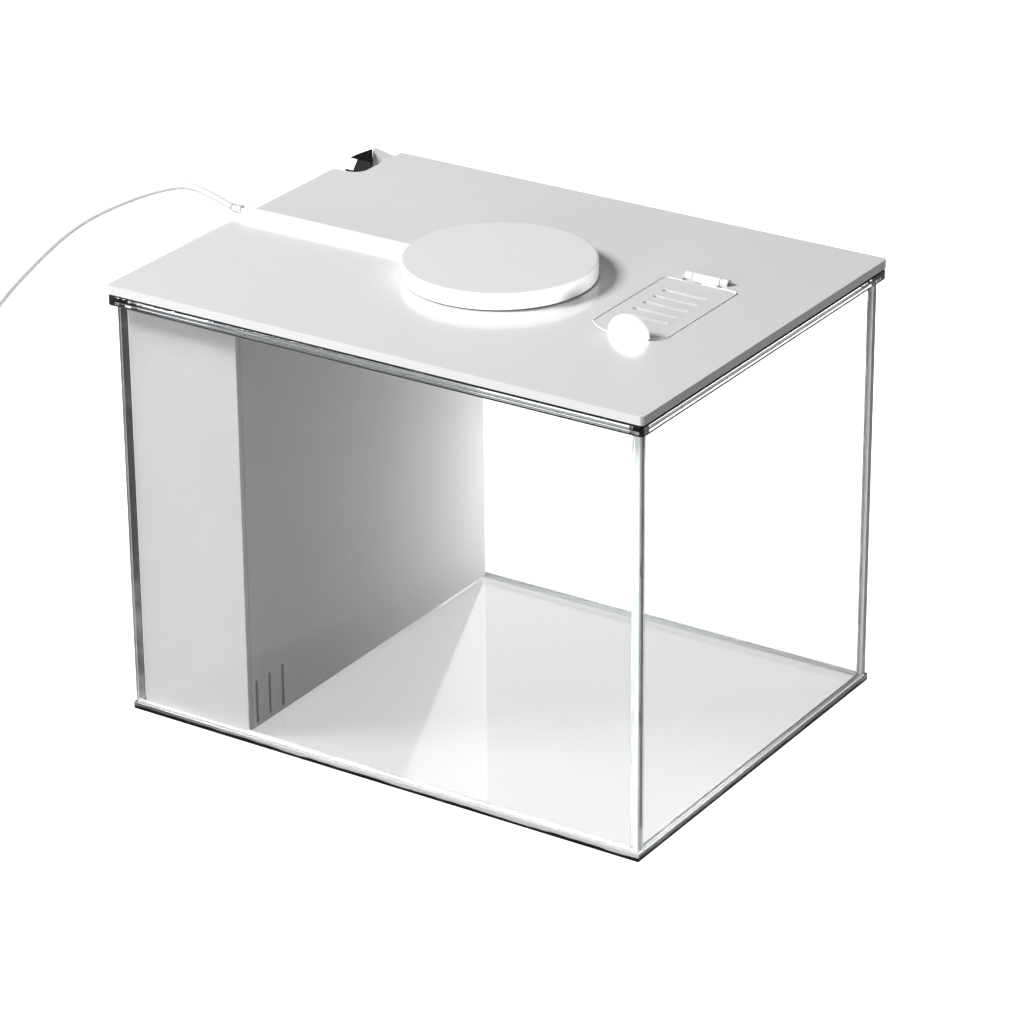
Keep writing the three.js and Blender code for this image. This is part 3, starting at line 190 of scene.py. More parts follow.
def clear_finish(name, tint, clean, smeared, ior=GLASS_IOR, shadow=(0.94, 0.94, 0.94), film=0.0):
    """A clear sheet. Its smears either roughen it, or lie on it as a film of that weight."""
    made, tree, shader, place = start_finish(name)
    handled = put(tree, "ShaderNodeGroup", node_tree=HANDLED)
    tree.links.new(place, handled.inputs["Vector"])
    handled.inputs["Clean"].default_value = clean
    handled.inputs["Smeared"].default_value = smeared
    feed(tree, shader, {"Base Color": (*tint, 1), "Transmission Weight": 1, "IOR": ior})
    if film:
        feed(tree, shader, {"Roughness": clean, "Coat Roughness": smeared})
        weight = mapped(tree, handled.outputs["Smear"], to=(0, film))
        tree.links.new(weight, shader.inputs["Coat Weight"])
    else:
        tree.links.new(handled.outputs["Roughness"], shader.inputs["Roughness"])
    let_lamps_through(tree, shader, shadow)
    return made


float_glass = clear_finish("float_glass", (0.993, 0.993, 0.993), 0.0, 0.3, film=0.08)


def edge_finish(name, dark, light, passes):
    """The polished edge of a pane, in dark and light patches of painted reflection; its dark version is
    painted shade, its light one painted light.
    """
    made, tree, shader, place = start_finish(name)
    squeezed = put(tree, "ShaderNodeMapping", {"Vector": place, "Scale": (1, 1, 2)})
    lines = cloudy(tree, squeezed.outputs[0], 45.0, 5.0)
    tone = shades(tree, lines, (dark, dark, dark), (light, light, light), 0.45, 0.72)
    tree.links.new(tone, shader.inputs["Base Color"])
    rough = mapped(tree, lines, to=(0.04, 0.22))
    feed(tree, shader, {"Roughness": rough, "Transmission Weight": passes, "IOR": GLASS_IOR})
    let_lamps_through(tree, shader, (0.7, 0.7, 0.7))
    return made


# The same polished edge twice: a dark version as painted shade and a light version as painted light.
pane_edge_painted_shade = edge_finish("polished_edge_painted_shade", 0.012, 0.16, 0.15)
pane_edge_painted_light = edge_finish("polished_edge_painted_light", 0.78, 0.9, 0.4)
# The floor pane's edge is painted shade: darker towards the left, with a dark line along its foot where it
# meets the floor.
edge_foot_painted_shade, tree, shader, place = start_finish("polished_edge_of_floor_painted_shade")
at = put(tree, "ShaderNodeSeparateXYZ", {0: place})
along = mapped(tree, at.outputs["X"], (-0.13, -0.04), (0.12, 0.55))
patch = cloudy(tree, place, 60.0, 4.0)
shade_line_foot = mapped(tree, patch, to=(0.0006, 0.0028))
shade_line_top = sums(tree, shade_line_foot, 0.0005)
above = mapped(tree, at.outputs["Z"], (shade_line_foot, shade_line_top))
tone = sums(tree, above, along, "MULTIPLY")
grey = put(tree, "ShaderNodeCombineXYZ", {k: tone for k in ("X", "Y", "Z")})
feed(tree, shader, {"Base Color": grey.outputs[0], "Roughness": 0.12, "IOR": GLASS_IOR})


def linked(name, data):
    """A new object with that mesh or light, in the scene."""
    made = bpy.data.objects.new(name, data)
    bpy.context.scene.collection.objects.link(made)
    return made


def welded(node, name, smooth=35):
    """A copy of a CAD node with its loose triangles welded and its flat faces made whole."""
    mesh = frame["nodes"][node].data.copy()
    mesh.name = name
    mesh.materials.clear()
    for spare in [a.name for a in mesh.attributes if a.name == "custom_normal"]:
        mesh.attributes.remove(mesh.attributes[spare])
    bm = bmesh.new()
    bm.from_mesh(mesh)
    bmesh.ops.remove_doubles(bm, verts=bm.verts, dist=2e-6)
    bmesh.ops.dissolve_limit(bm, angle_limit=radians(0.4), verts=bm.verts, edges=bm.edges)
    for face in bm.faces:
        face.smooth = True
    bm.to_mesh(mesh)
    bm.free()
    mesh.set_sharp_from_angle(angle=radians(smooth))
    return linked(name, mesh)


def ease_edges(obj, width, segments=2, angle=35, material=-1):
    """A small round on every edge sharper than the angle, with the flats kept flat."""
    rounding = obj.modifiers.new("eased_edges", "BEVEL")
    rounding.width = width
    rounding.segments = segments
    rounding.limit_method = "ANGLE"
    rounding.angle_limit = radians(angle)
    rounding.material = material
    flats = obj.modifiers.new("flat_faces", "WEIGHTED_NORMAL")
    flats.mode = "FACE_AREA"
    flats.weight = 80
    flats.keep_sharp = True
    return obj


def settle(obj, node, slot, *finishes):
    """Gives a piece its finishes and lets it stand for a CAD node on that node's body. The slot is not used.
    """
    for made in finishes:
        obj.data.materials.append(made)
    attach(obj, frame["nodes"][node]["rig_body"])
    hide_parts(node)
    return obj


def as_drawn(node, name, slot, finish, width, segments=2, angle=35, smooth=35):
    """A piece in its CAD node's own shape, with its edges eased by a width in millimetres."""
    return settle(ease_edges(welded(node, name, smooth), width * MM, segments, angle), node, slot, finish)


def added(obj, body, slot, *finishes):
    """Gives a piece that has no CAD node its finishes and its body. The slot is not used."""
    for made in finishes:
        obj.data.materials.append(made)
    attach(obj, body)
    return obj


# Each pane, with the axis it lies across.
PANES = {"floor_pane": 2, "front_pane": 1, "back_pane": 1, "left_pane": 0, "right_pane": 0}
for pane, across in PANES.items():
    sheet = welded(pane, pane + "_glass")
    for face in sheet.data.polygons:
        face.material_index = 0 if abs(face.normal[across]) > 0.9 else 1
    ease_edges(sheet, 0.35 * MM, 1, material=1)
    # Painted shade on the left pane's edges, painted light on the other walls' edges, a painted shade line at
    # the floor pane's foot.
    edges = {"floor_pane": edge_foot_painted_shade, "left_pane": pane_edge_painted_shade}.get(pane, pane_edge_painted_light)
    settle(sheet, pane, "glass", float_glass, edges)

# -------------------- silicone joints
# Silicone holds the panes together: a thin bond between every two that meet, black at the filter end, and a
# clear hollow fillet run into each inside corner with a wet finger, so its width wanders a little.
BEAD_STEP = 4 * MM
BEAD_HOLLOW = 0.42


def shell(name, points, faces, smooth=True):
    """A closed mesh object at the origin, with its faces turned outwards."""
    mesh = bpy.data.meshes.new(name)
    mesh.from_pydata([tuple(p) for p in points], [], faces)
    bm = bmesh.new()
    bm.from_mesh(mesh)
    bmesh.ops.recalc_face_normals(bm, faces=bm.faces)
    for face in bm.faces:
        face.smooth = smooth
    bm.to_mesh(mesh)
    bm.free()
    return linked(name, mesh)


def swept(path, section, points, faces):
    """Adds a run of one outline along a path: section(i) gives the outline's (across, up) at step i."""
    first = len(points)
    tangent = (path[1] - path[0]).normalized()
    up = Vector((0, 0, 1)) if abs(tangent.z) < 0.9 else Vector((0, 1, 0))
    across = tangent.cross(up).normalized()
    up = across.cross(tangent).normalized()
    sides = len(section(0))
    for i, p in enumerate(path):
        ahead = path[min(i + 1, len(path) - 1)] - path[max(i - 1, 0)]
        turn = tangent.rotation_difference(ahead.normalized())
        across, up, tangent = turn @ across, turn @ up, ahead.normalized()
        points += [p + across * a + up * b for a, b in section(i)]
        if i:
            ring = first + i * sides
            faces += [(ring - sides + k, ring - sides + (k + 1) % sides, ring + (k + 1) % sides, ring + k)
                      for k in range(sides)]
    faces.append(tuple(first + k for k in reversed(range(sides))))
    faces.append(tuple(first + (len(path) - 1) * sides + k for k in range(sides)))


def swept_shell(name, path, section):
    """A closed piece that follows a path."""
    points, faces = [], []
    swept(path, section, points, faces)
    return shell(name, points, faces)


def ellipse(half_across, half_up, sides):
    """A round outline, as (across, up) pairs."""
    return [(half_across * cos(2 * pi * k / sides), half_up * sin(2 * pi * k / sides)) for k in range(sides)]


def corner_bead(points, faces, start, end, into_a, into_b, leg):
    """A hollow fillet along an inside corner, leaning into the tank by the two directions given."""
    start, end, into_a, into_b = Vector(start), Vector(end), Vector(into_a), Vector(into_b)
    steps = max(2, round((end - start).length / BEAD_STEP))
    first = len(points)
    for i in range(steps + 1):
        p = start.lerp(end, i / steps)
        width = leg * (1 + 0.10 * noise.noise(p * 60))
        ring = [p, p + into_a * width]
        for k in (0.25, 0.5, 0.75):
            sag = BEAD_HOLLOW * sin(pi * k) * width
            on = p + into_a * width * (1 - k) + into_b * width * k
            ring.append(on - (into_a + into_b) * sag * 0.5)
        ring.append(p + into_b * width)
        points += ring
        if i:
            n, at = len(ring), first + i * len(ring)
            faces += [(at - n + k, at - n + (k + 1) % n, at + (k + 1) % n, at + k) for k in range(n)]
    faces.append(tuple(first + k for k in reversed(range(6))))
    faces.append(tuple(first + steps * 6 + k for k in range(6)))


silicone_clear, tree, shader, place = start_finish("clear_silicone")
cloud = cloudy(tree, place, 220.0, 3.0)
feed(tree, shader, {"Base Color": (0.86, 0.89, 0.89, 1), "Transmission Weight": 0.75, "IOR": 1.41})
rough = mapped(tree, cloud, to=(0.22, 0.5))
tree.links.new(rough, shader.inputs["Roughness"])
bumpy(tree, shader, cloud, 0.3, 0.0004)
let_lamps_through(tree, shader, (0.85, 0.87, 0.87))

X, Y, Z = Vector((1, 0, 0)), Vector((0, 1, 0)), Vector((0, 0, 1))
BEAD_LEG = 1.5 * MM
low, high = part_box("seal_bead_tank")
points, faces = [], []
for start, end, into_a, into_b in (
    ((low.x, low.y, low.z), (high.x, low.y, low.z), Y, Z),
    ((low.x, high.y, low.z), (high.x, high.y, low.z), -Y, Z),
    ((high.x, low.y, low.z), (high.x, high.y, low.z), -X, Z),
    ((high.x, low.y, low.z), (high.x, low.y, high.z), -X, Y),
    ((high.x, high.y, low.z), (high.x, high.y, high.z), -X, -Y),
):
    corner_bead(points, faces, start, end, into_a, into_b, BEAD_LEG)
settle(shell("tank_fillets", points, faces), "seal_bead_tank", "silicone", silicone_clear)
low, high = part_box("seal_bead_filter")
points, faces = [], []
for start, end, into_a, into_b in (
    ((low.x, low.y, low.z), (low.x, high.y, low.z), X, Z),
    ((low.x, high.y, low.z), (high.x, high.y, low.z), -Y, Z),
    ((low.x, high.y, low.z), (low.x, high.y, high.z), X, -Y),
):
    corner_bead(points, faces, start, end, into_a, into_b, BEAD_LEG)
settle(shell("filter_fillets", points, faces), "seal_bead_filter", "silicone", silicone_clear)


def bar(points, faces, low, high):
    """Adds a closed box between two corners."""
    first = len(points)
    points += [Vector((x, y, z)) for z in (low[2], high[2])
               for y in (low[1], high[1]) for x in (low[0], high[0])]
    faces += [tuple(first + k for k in quad) for quad in
              ((0, 2, 3, 1), (4, 5, 7, 6), (0, 1, 5, 4), (1, 3, 7, 5), (3, 2, 6, 7), (2, 0, 4, 6))]


(wx0, wy0, wz0), (wx1, wy1, wz1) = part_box("front_pane")[0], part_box("back_pane")[1]
(lx0, ly0, _), (lx1, ly1, _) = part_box("left_pane")
(rx0, ry0, _), (rx1, ry1, _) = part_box("right_pane")
floor_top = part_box("floor_pane")[1].z
in_y0, in_y1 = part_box("front_pane")[1].y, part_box("back_pane")[0].y
SKIN = 0.01 * MM
BOND_TOP_GAP = 2 * MM
silicone_black, tree, shader, place = start_finish("black_silicone")
cloud = cloudy(tree, place, 38.0, 4.0)
rise = put(tree, "ShaderNodeSeparateXYZ", {0: place})
# The black lightens towards the bottom: painted light.
painted_light_low = mapped(tree, rise.outputs["Z"], (0.12, 0.0), (-0.12, 0.16))
patches = sums(tree, cloud, painted_light_low)
tone = shades(tree, patches, (0.015, 0.015, 0.015), (0.24, 0.24, 0.24), 0.42, 0.72)
feed(tree, shader, {"Base Color": tone, "Roughness": 0.45})
for name, finish, x0, x1, y0, y1 in (("pane_bonds_filter_end", silicone_black, lx0, lx1, ly0, ly1),
                                     ("pane_bonds_display_end", silicone_clear, rx0, rx1, ry0, ry1)):
    points, faces = [], []
    bar(points, faces, (x0 + SKIN, y0 + SKIN, floor_top + SKIN), (x1 - SKIN, y1 - SKIN, wz0 - SKIN))
    for end0, end1 in ((in_y0, y0), (y1, in_y1)):
        bar(points, faces, (x0 + SKIN, end0 + SKIN, wz0), (x1 - SKIN, end1 - SKIN, wz1 - BOND_TOP_GAP))
    added(shell(name, points, faces, smooth=False), "root", "silicone", finish)
points, faces = [], []
for y0, y1 in ((wy0, in_y0), (in_y1, wy1)):
    bar(points, faces, (wx0 + SKIN, y0 + SKIN, floor_top + SKIN), (wx1 - SKIN, y1 - SKIN, wz0 - SKIN))
added(shell("pane_bonds_long_walls", points, faces, smooth=False), "root", "silicone", silicone_clear)

# -------------------- top rim
# A frame of clear moulded acrylic, a channel upside down, pushed over the walls' top edges. It ties the walls
# together and carries the lid. Its top and bottom faces are painted black, a painted shade for the gaps above
# and below it.
clear_acrylic = clear_finish("clear_acrylic", (0.95, 0.97, 0.97), 0.05, 0.14, 1.49, (0.86, 0.88, 0.88))
SHADE_FACE_REACH = 0.5 * MM
rim = welded("top_rim", "rim_frame")
rim_low, rim_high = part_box("top_rim")
# The rim's top and bottom faces take the black: painted shade for the gaps above and below it.
for face in rim.data.polygons:
    faces_up = face.normal.z > 0.9 and face.center.z > rim_high.z - SHADE_FACE_REACH
    faces_down = face.normal.z < -0.9 and face.center.z < rim_low.z + SHADE_FACE_REACH
    face.material_index = int(faces_up or faces_down)


def grain_group():
    """Moulded or rolled sheet: fine grain, slow ripple, and a faint drift of tone and gloss."""
    group, given, out = new_group(
        "plastic_surface",
        "ShaderNodeTree",
        [("Vector", "NodeSocketVector", None), ("Color", "NodeSocketColor", (0.6, 0.6, 0.6, 1)),
         ("Drift", "NodeSocketFloat", 0.04), ("Roughness", "NodeSocketFloat", 0.3),
         ("Roughness Spread", "NodeSocketFloat", 0.06), ("Grain Scale", "NodeSocketFloat", 900.0),
         ("Ripple", "NodeSocketFloat", 0.5)],
        [("Color", "NodeSocketColor"), ("Roughness", "NodeSocketFloat"), ("Height", "NodeSocketFloat")],
    )
    grain = cloudy(group, given["Vector"], given["Grain Scale"])
    slow = cloudy(group, given["Vector"], 14.0, 3.0)
    hands = cloudy(group, given["Vector"], 42.0, 6.0, 1.2)
    dark = sums(group, 1.0, given["Drift"], "SUBTRACT")
    tone = mapped(group, slow, (0.3, 0.7), (dark, 1.0))
    tinted = put(group, "ShaderNodeVectorMath", {0: given["Color"], 1: tone}, operation="MULTIPLY")
    group.links.new(tinted.outputs[0], out.inputs["Color"])
    least = sums(group, given["Roughness"], given["Roughness Spread"], "SUBTRACT")
    most = sums(group, given["Roughness"], given["Roughness Spread"])
    rough = mapped(group, hands, (0.35, 0.65), (least, most))
    group.links.new(rough, out.inputs["Roughness"])
    ripple = sums(group, slow, given["Ripple"], "MULTIPLY")
    whole = sums(group, grain, ripple)
    group.links.new(whole, out.inputs["Height"])
    return group


GRAIN = grain_group()


def plastic(name, color, roughness, spread=0.05, drift=0.03, grain=900.0, ripple=1.0, depth=0.02, **fixed):
    """A solid plastic, sheet or moulding: the shared surface with this piece's own values."""
    made, tree, shader, place = start_finish(name)
    surface = put(tree, "ShaderNodeGroup", node_tree=GRAIN)
    tree.links.new(place, surface.inputs["Vector"])
    for key, value in (("Color", (*color, 1)), ("Drift", drift), ("Roughness", roughness),
                       ("Roughness Spread", spread), ("Grain Scale", grain), ("Ripple", ripple)):
        surface.inputs[key].default_value = value
    feed(tree, shader, {"Base Color": surface.outputs["Color"], "Roughness": surface.outputs["Roughness"]})
    bumpy(tree, shader, surface.outputs["Height"], 1.0, depth * MM)
    for key, value in fixed.items():
        shader.inputs[key.replace("_", " ")].default_value = value
    return made


# Painted shade: the black on the rim's top and bottom faces.
gap_shade_black = plastic("painted_gap_shade", (0.012, 0.012, 0.013), 0.5, 0.08, 0.2, 700.0, 1.0, 0.02)
settle(ease_edges(rim, 0.3 * MM, 2), "top_rim", "clear_plastic", clear_acrylic, gap_shade_black)

# -------------------- filter panels
# Four panels of white acrylic sheet, saw-cut and scraped, wall off the filter and part its three chambers.
# They are bonded to the glass; the side panel has the water slots low down and the return pipe's hole.
white_sheet = plastic("white_sheet_acrylic", (0.37, 0.37, 0.37), 0.42, 0.05, 0.03, 700.0, 0.8, 0.015)
for panel in ("filter_front_panel", "filter_side_panel", "divider_front", "divider_rear"):
    as_drawn(panel, panel + "_sheet", "white_panel", white_sheet, 0.25)

# -------------------- media and foam
# Two black moulded grids carry the media off the floor. In the front chamber a coarse foam block and a fine
# one stand on each other, cut with a hot wire and a little too big for the chamber, so their sides crown out.
satin_black = plastic("satin_black_plastic", (0.022, 0.022, 0.023), 0.42, 0.08, 0.15, 500.0, 1.0, 0.03)
for grid in ("media_grid_front", "media_grid_rear"):
    as_drawn(grid, grid + "_moulding", "black_plastic", satin_black, 0.25)
FOAM_CORNER = 3.0 * MM
FOAM_CROWN = 0.9 * MM


def foam_finish(name, pore_scale, light, dark):
    """Open-cell foam: cells with lighter struts between them, their hollows darkened as painted shade."""
    made, tree, shader, place = start_finish(name)
    cells = put(tree, "ShaderNodeTexVoronoi", {"Vector": place, "Scale": pore_scale})
    fine = put(tree, "ShaderNodeTexVoronoi", {"Vector": place, "Scale": pore_scale * 2.7})
    depth = sums(tree, cells.outputs["Distance"], fine.outputs["Distance"])
    tone = shades(tree, depth, dark, light, 0.35)
    feed(tree, shader, {"Base Color": tone, "Roughness": 0.95, "Sheen Weight": 0.25})
    bumpy(tree, shader, depth, 0.9, 0.0008)
    return made


def ended(bm, name, smooth=True):
    """Ends a mesh in the making."""
    for face in bm.faces:
        face.smooth = smooth
    mesh = bpy.data.meshes.new(name)
    bm.to_mesh(mesh)
    bm.free()
    return mesh


def foam_block(name, node, cell, pit, finish, slot, pore_scale):
    """A foam block: crowned sides, soft corners, and pits where cells are cut open."""
    low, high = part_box(node)
    size = high - low
    middle = (low + high) / 2
    counts = [max(2, round(s / cell)) for s in size]
    bm = bmesh.new()
    bmesh.ops.create_cube(bm, size=1)
    for axis in range(3):
        for k in range(1, counts[axis]):
            normal = Vector([1.0 if i == axis else 0.0 for i in range(3)])
            everything = bm.verts[:] + bm.edges[:] + bm.faces[:]
            cut = normal * (k / counts[axis] - 0.5)
            bmesh.ops.bisect_plane(bm, geom=everything, plane_co=cut, plane_no=normal)
    for v in bm.verts:
        p = Vector([c * s for c, s in zip(v.co, size)])
        core = Vector([max(-s / 2 + FOAM_CORNER, min(s / 2 - FOAM_CORNER, c)) for c, s in zip(p, size)])
        away = p - core
        if away.length > 1e-9:
            out = away.normalized()
            rounded = core + out * FOAM_CORNER
        else:
            out, rounded = Vector((0, 0, 0)), p
        share = Vector([2 * c / s for c, s in zip(p, size)])
        crown = Vector([FOAM_CROWN * out[i] * (share[(i + 1) % 3] ** 2 + share[(i + 2) % 3] ** 2) / 2
                        for i in range(3)])
        q = middle + rounded - crown
        near = noise.voronoi(q * pore_scale)[0]
        v.co = q - out * pit * max(0.0, 1 - 2.2 * near[0])
    bm.normal_update()
    made = settle(linked(name, ended(bm, name)), node, slot, finish)
    return made


coarse = foam_finish("coarse_filter_foam", 420.0, (0.09, 0.095, 0.10), (0.006, 0.006, 0.007))
fine = foam_finish("fine_filter_foam", 900.0, (0.26, 0.42, 0.56), (0.05, 0.10, 0.16))
foam_block("coarse_foam_block", "sponge_coarse", 1.5 * MM, 0.9 * MM, coarse, "coarse_foam", 300)
foam_block("fine_foam_block", "sponge_fine", 1.5 * MM, 0.4 * MM, fine, "fine_foam", 500)

# -------------------- ceramic rings
# Unglazed ceramic tubes, a few hundred of them, poured loose into the middle chamber as a home for bacteria.
# Each is a cut length of extruded clay, so all are one size and none lies the same way.
RING_RADIUS = 4.1 * MM
RING_BORE = 2.1 * MM
RING_LENGTH = 7.6 * MM
RING_EASE = 0.3 * MM
RING_SIDES = 12


def ring_mesh():
    """One ring about Z: a tube with its ends eased."""
    bm = bmesh.new()
    half = [(RING_BORE, 0.46), (RING_BORE + RING_EASE, 0.5),
            (RING_RADIUS - RING_EASE, 0.5), (RING_RADIUS, 0.46)]
    outline = [(r, -z) for r, z in half] + half[::-1]
    rings = [[bm.verts.new((x, y, z * RING_LENGTH)) for x, y in ellipse(r, r, RING_SIDES)] for r, z in outline]
    for a, b in zip(rings, rings[1:] + rings[:1]):
        for k in range(RING_SIDES):
            bm.faces.new((a[k], a[(k + 1) % RING_SIDES], b[(k + 1) % RING_SIDES], b[k]))
    bmesh.ops.recalc_face_normals(bm, faces=bm.faces)
    mesh = ended(bm, "ceramic_ring")
    mesh.set_sharp_from_angle(angle=radians(40))
    return mesh


def grown(name, base, group, settings):
    """Runs a Geometry Nodes tree on an object and returns its result as a plain mesh object."""
    modifier = base.modifiers.new("grow", "NODES")
    modifier.node_group = group
    sockets = {s.name: s.identifier for s in group.interface.items_tree
               if s.item_type == "SOCKET" and s.in_out == "INPUT"}
    for label, value in settings.items():
        modifier[sockets[label]] = value
    mesh = bpy.data.meshes.new_from_object(base.evaluated_get(bpy.context.evaluated_depsgraph_get()))
    mesh.name = name
    bpy.data.objects.remove(base)
    return linked(name, mesh)


unglazed, tree, shader, place = start_finish("unglazed_ceramic")
speck = cloudy(tree, place, 900.0, 4.0)
cast = cloudy(tree, place, 95.0, 1.0)
tone = shades(tree, sums(tree, speck, cast), (0.50, 0.40, 0.28), (0.80, 0.73, 0.60), 0.7)
feed(tree, shader, {"Base Color": tone, "Roughness": 0.9})
bumpy(tree, shader, speck, 0.6, 0.0002)

heap, given, out = new_group(
    "poured_rings", "GeometryNodeTree",
    [("Geometry", "NodeSocketGeometry", None), ("Ring", "NodeSocketObject", None),
     ("Wander", "NodeSocketFloat", 0.0008), ("Seed", "NodeSocketInt", 7),
     ("Finish", "NodeSocketMaterial", None)],
    [("Geometry", "NodeSocketGeometry")],
)
low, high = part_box("ceramic_rings")
ring_object = bpy.data.objects.new("one_ring", ring_mesh())
info = put(heap, "GeometryNodeObjectInfo", {"Object": given["Ring"]})
turn = put(heap, "FunctionNodeRandomValue", {"Seed": given["Seed"]}, data_type="FLOAT_VECTOR")
turn.inputs[1].default_value = (2 * pi,) * 3
minus = sums(heap, given["Wander"], -1.0, "MULTIPLY")
shift = put(heap, "FunctionNodeRandomValue", {"Seed": given["Seed"]}, data_type="FLOAT_VECTOR")
heap.links.new(minus, shift.inputs[0])
heap.links.new(given["Wander"], shift.inputs[1])
moved = put(heap, "GeometryNodeSetPosition", {"Geometry": given["Geometry"], "Offset": shift.outputs[0]})
strewn = put(heap, "GeometryNodeInstanceOnPoints",
             {"Points": moved.outputs[0], "Instance": info.outputs["Geometry"], "Rotation": turn.outputs[0]})
real = put(heap, "GeometryNodeRealizeInstances", {"Geometry": strewn.outputs[0]})
painted = put(heap, "GeometryNodeSetMaterial", {"Geometry": real.outputs[0], "Material": given["Finish"]})
heap.links.new(painted.outputs[0], out.inputs[0])

RING_PITCH = 9.1 * MM
RING_INSET = 5.0 * MM
counts = [int((high[i] - low[i] - 2 * RING_INSET) / RING_PITCH) for i in range(3)]
spots = []
for k in range(counts[2] + 1):
    for j in range(counts[1] + 1 - k % 2):
        for i in range(counts[0] + 1 - k % 2):
            share = [(n + (k % 2) / 2) / c for n, c in ((i, counts[0]), (j, counts[1]))] + [k / counts[2]]
            spots.append([low[a] + RING_INSET + share[a] * (high[a] - low[a] - 2 * RING_INSET)
                          for a in range(3)])
spot_mesh = bpy.data.meshes.new("ring_places")
spot_mesh.from_pydata(spots, [], [])
rings = grown("poured_ceramic_rings", linked("ring_places", spot_mesh), heap,
              {"Ring": ring_object, "Wander": 0.7 * MM, "Seed": 7, "Finish": unglazed})
bpy.data.objects.remove(ring_object)
settle(rings, "ceramic_rings", "ceramic")

# -------------------- pump
# A small submerged pump on two suction cups at the floor of the rear chamber. Its housing, impeller chamber
# and slotted strainer are satin black mouldings that clip together; a magnet rotor on a ceramic shaft
# drives it.
for part in ("pump_body", "pump_volute", "pump_strainer"):
    as_drawn(part, part + "_moulding", "black_plastic", satin_black, 0.3)
black_rubber = plastic("black_moulded_rubber", (0.008, 0.008, 0.009), 0.24, 0.08, 0.2, 300.0, 1.0, 0.02)
for part in ("pump_cable_gland", "shaft_bush"):
    as_drawn(part, part + "_rubber", "black_rubber", black_rubber, 0.3)
dial_blue = plastic("blue_satin_plastic", (0.05, 0.15, 0.33), 0.35, 0.06, 0.08, 500.0, 1.0, 0.02)
as_drawn("pump_flow_dial", "flow_dial_knob", "blue_plastic", dial_blue, 0.3)
white_nylon = plastic("white_nylon", (0.72, 0.72, 0.70), 0.38, 0.05, 0.05, 600.0, 1.0, 0.02)
as_drawn("pump_impeller", "impeller_wheel", "white_gloss", white_nylon, 0.15, 1)
ferrite = plastic("sintered_ferrite", (0.045, 0.045, 0.048), 0.5, 0.1, 0.25, 1400.0, 0.4, 0.05, Metallic=0.4)
as_drawn("pump_rotor", "rotor_magnet", "magnet", ferrite, 0.3)
as_drawn("pump_shaft", "shaft_rod", "ceramic", unglazed, 0.2)
# The cups' half section, as radius and height in millimetres.
CUP_PROFILE = (
    (0, 0.9), (3.2, 0.7), (5.2, 0.35), (6.6, 0.05), (6.98, 0.0), (6.95, 0.35), (5.9, 1.3), (4.8, 2.3),
    (3.9, 3.2), (3.5, 3.9), (3.45, 5.4), (3.3, 5.65), (2.6, 5.7), (2.4, 5.9), (2.4, 8.4), (2.2, 8.65),
    (0, 8.7),
)


def foot_of(node):
    """The middle of the bottom of a CAD node's box."""
    low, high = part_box(node)
    return Vector(((low.x + high.x) / 2, (low.y + high.y) / 2, low.z))


def turned(name, profile, centre, sides=64, sharp=None):
    """A piece turned about a vertical line from its half section, radius and height in millimetres."""
    points, faces, rows = [], [], []
    for r, z in profile:
        at = [centre + Vector((r * MM * cos(2 * pi * k / sides), r * MM * sin(2 * pi * k / sides), z * MM))
              for k in range(sides if r else 1)]
        rows.append([len(points) + k for k in range(len(at))])
        points += at
    for a, b in zip(rows, rows[1:]):
        for k in range(sides):
            quad = [a[k % len(a)], a[(k + 1) % len(a)], b[(k + 1) % len(b)], b[k % len(b)]]
            faces.append(tuple(dict.fromkeys(quad)))
    if profile[0][0] and profile[-1][0]:
        faces += [(rows[-1][k], rows[-1][(k + 1) % sides], rows[0][(k + 1) % sides], rows[0][k])
                  for k in range(sides)]
    made = shell(name, points, faces)
    if sharp:
        made.data.set_sharp_from_angle(angle=radians(sharp))
    return made


for cup in ("suction_cup_front", "suction_cup_rear"):
    settle(turned(cup + "_moulded", CUP_PROFILE, foot_of(cup), 40, 50), cup, "silicone", silicone_clear)

# -------------------- return pipe
# A silicone hose stands on the pump's spigot and slips over an elbow, which is held through the side panel by
# a flange and a nut. The flat nozzle outside turns on its end. All but the hose are satin black mouldings.
for part in ("return_elbow", "return_nut", "return_nozzle"):
    as_drawn(part, part + "_moulding", "black_plastic", satin_black, 0.3)
low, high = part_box("riser_hose")
HOSE_OUT, HOSE_BORE = 6.1, 4.6
HOSE_STEPS, HOSE_GRIP = 40, 11
hose_height = (high.z - low.z) / MM
hose_profile = [(HOSE_BORE, 0.3), (HOSE_BORE + 0.3, 0), (HOSE_OUT - 0.4, 0), (HOSE_OUT, 0.4)]
for k in range(1, HOSE_STEPS):
    z = hose_height * k / HOSE_STEPS
    grip = max(0.0, 1 - min(z, hose_height - z) / HOSE_GRIP)
    hose_profile.append((HOSE_OUT - 0.12 * (1 - grip) - 0.05 * (k % 2) * (1 - grip), z))
hose_profile += [(HOSE_OUT, hose_height - 0.4), (HOSE_OUT - 0.4, hose_height),
                 (HOSE_BORE + 0.3, hose_height), (HOSE_BORE, hose_height - 0.3)]
hose = turned("riser_hose_tube", hose_profile, foot_of("riser_hose"), 40, 60)
settle(hose, "riser_hose", "silicone", silicone_clear)

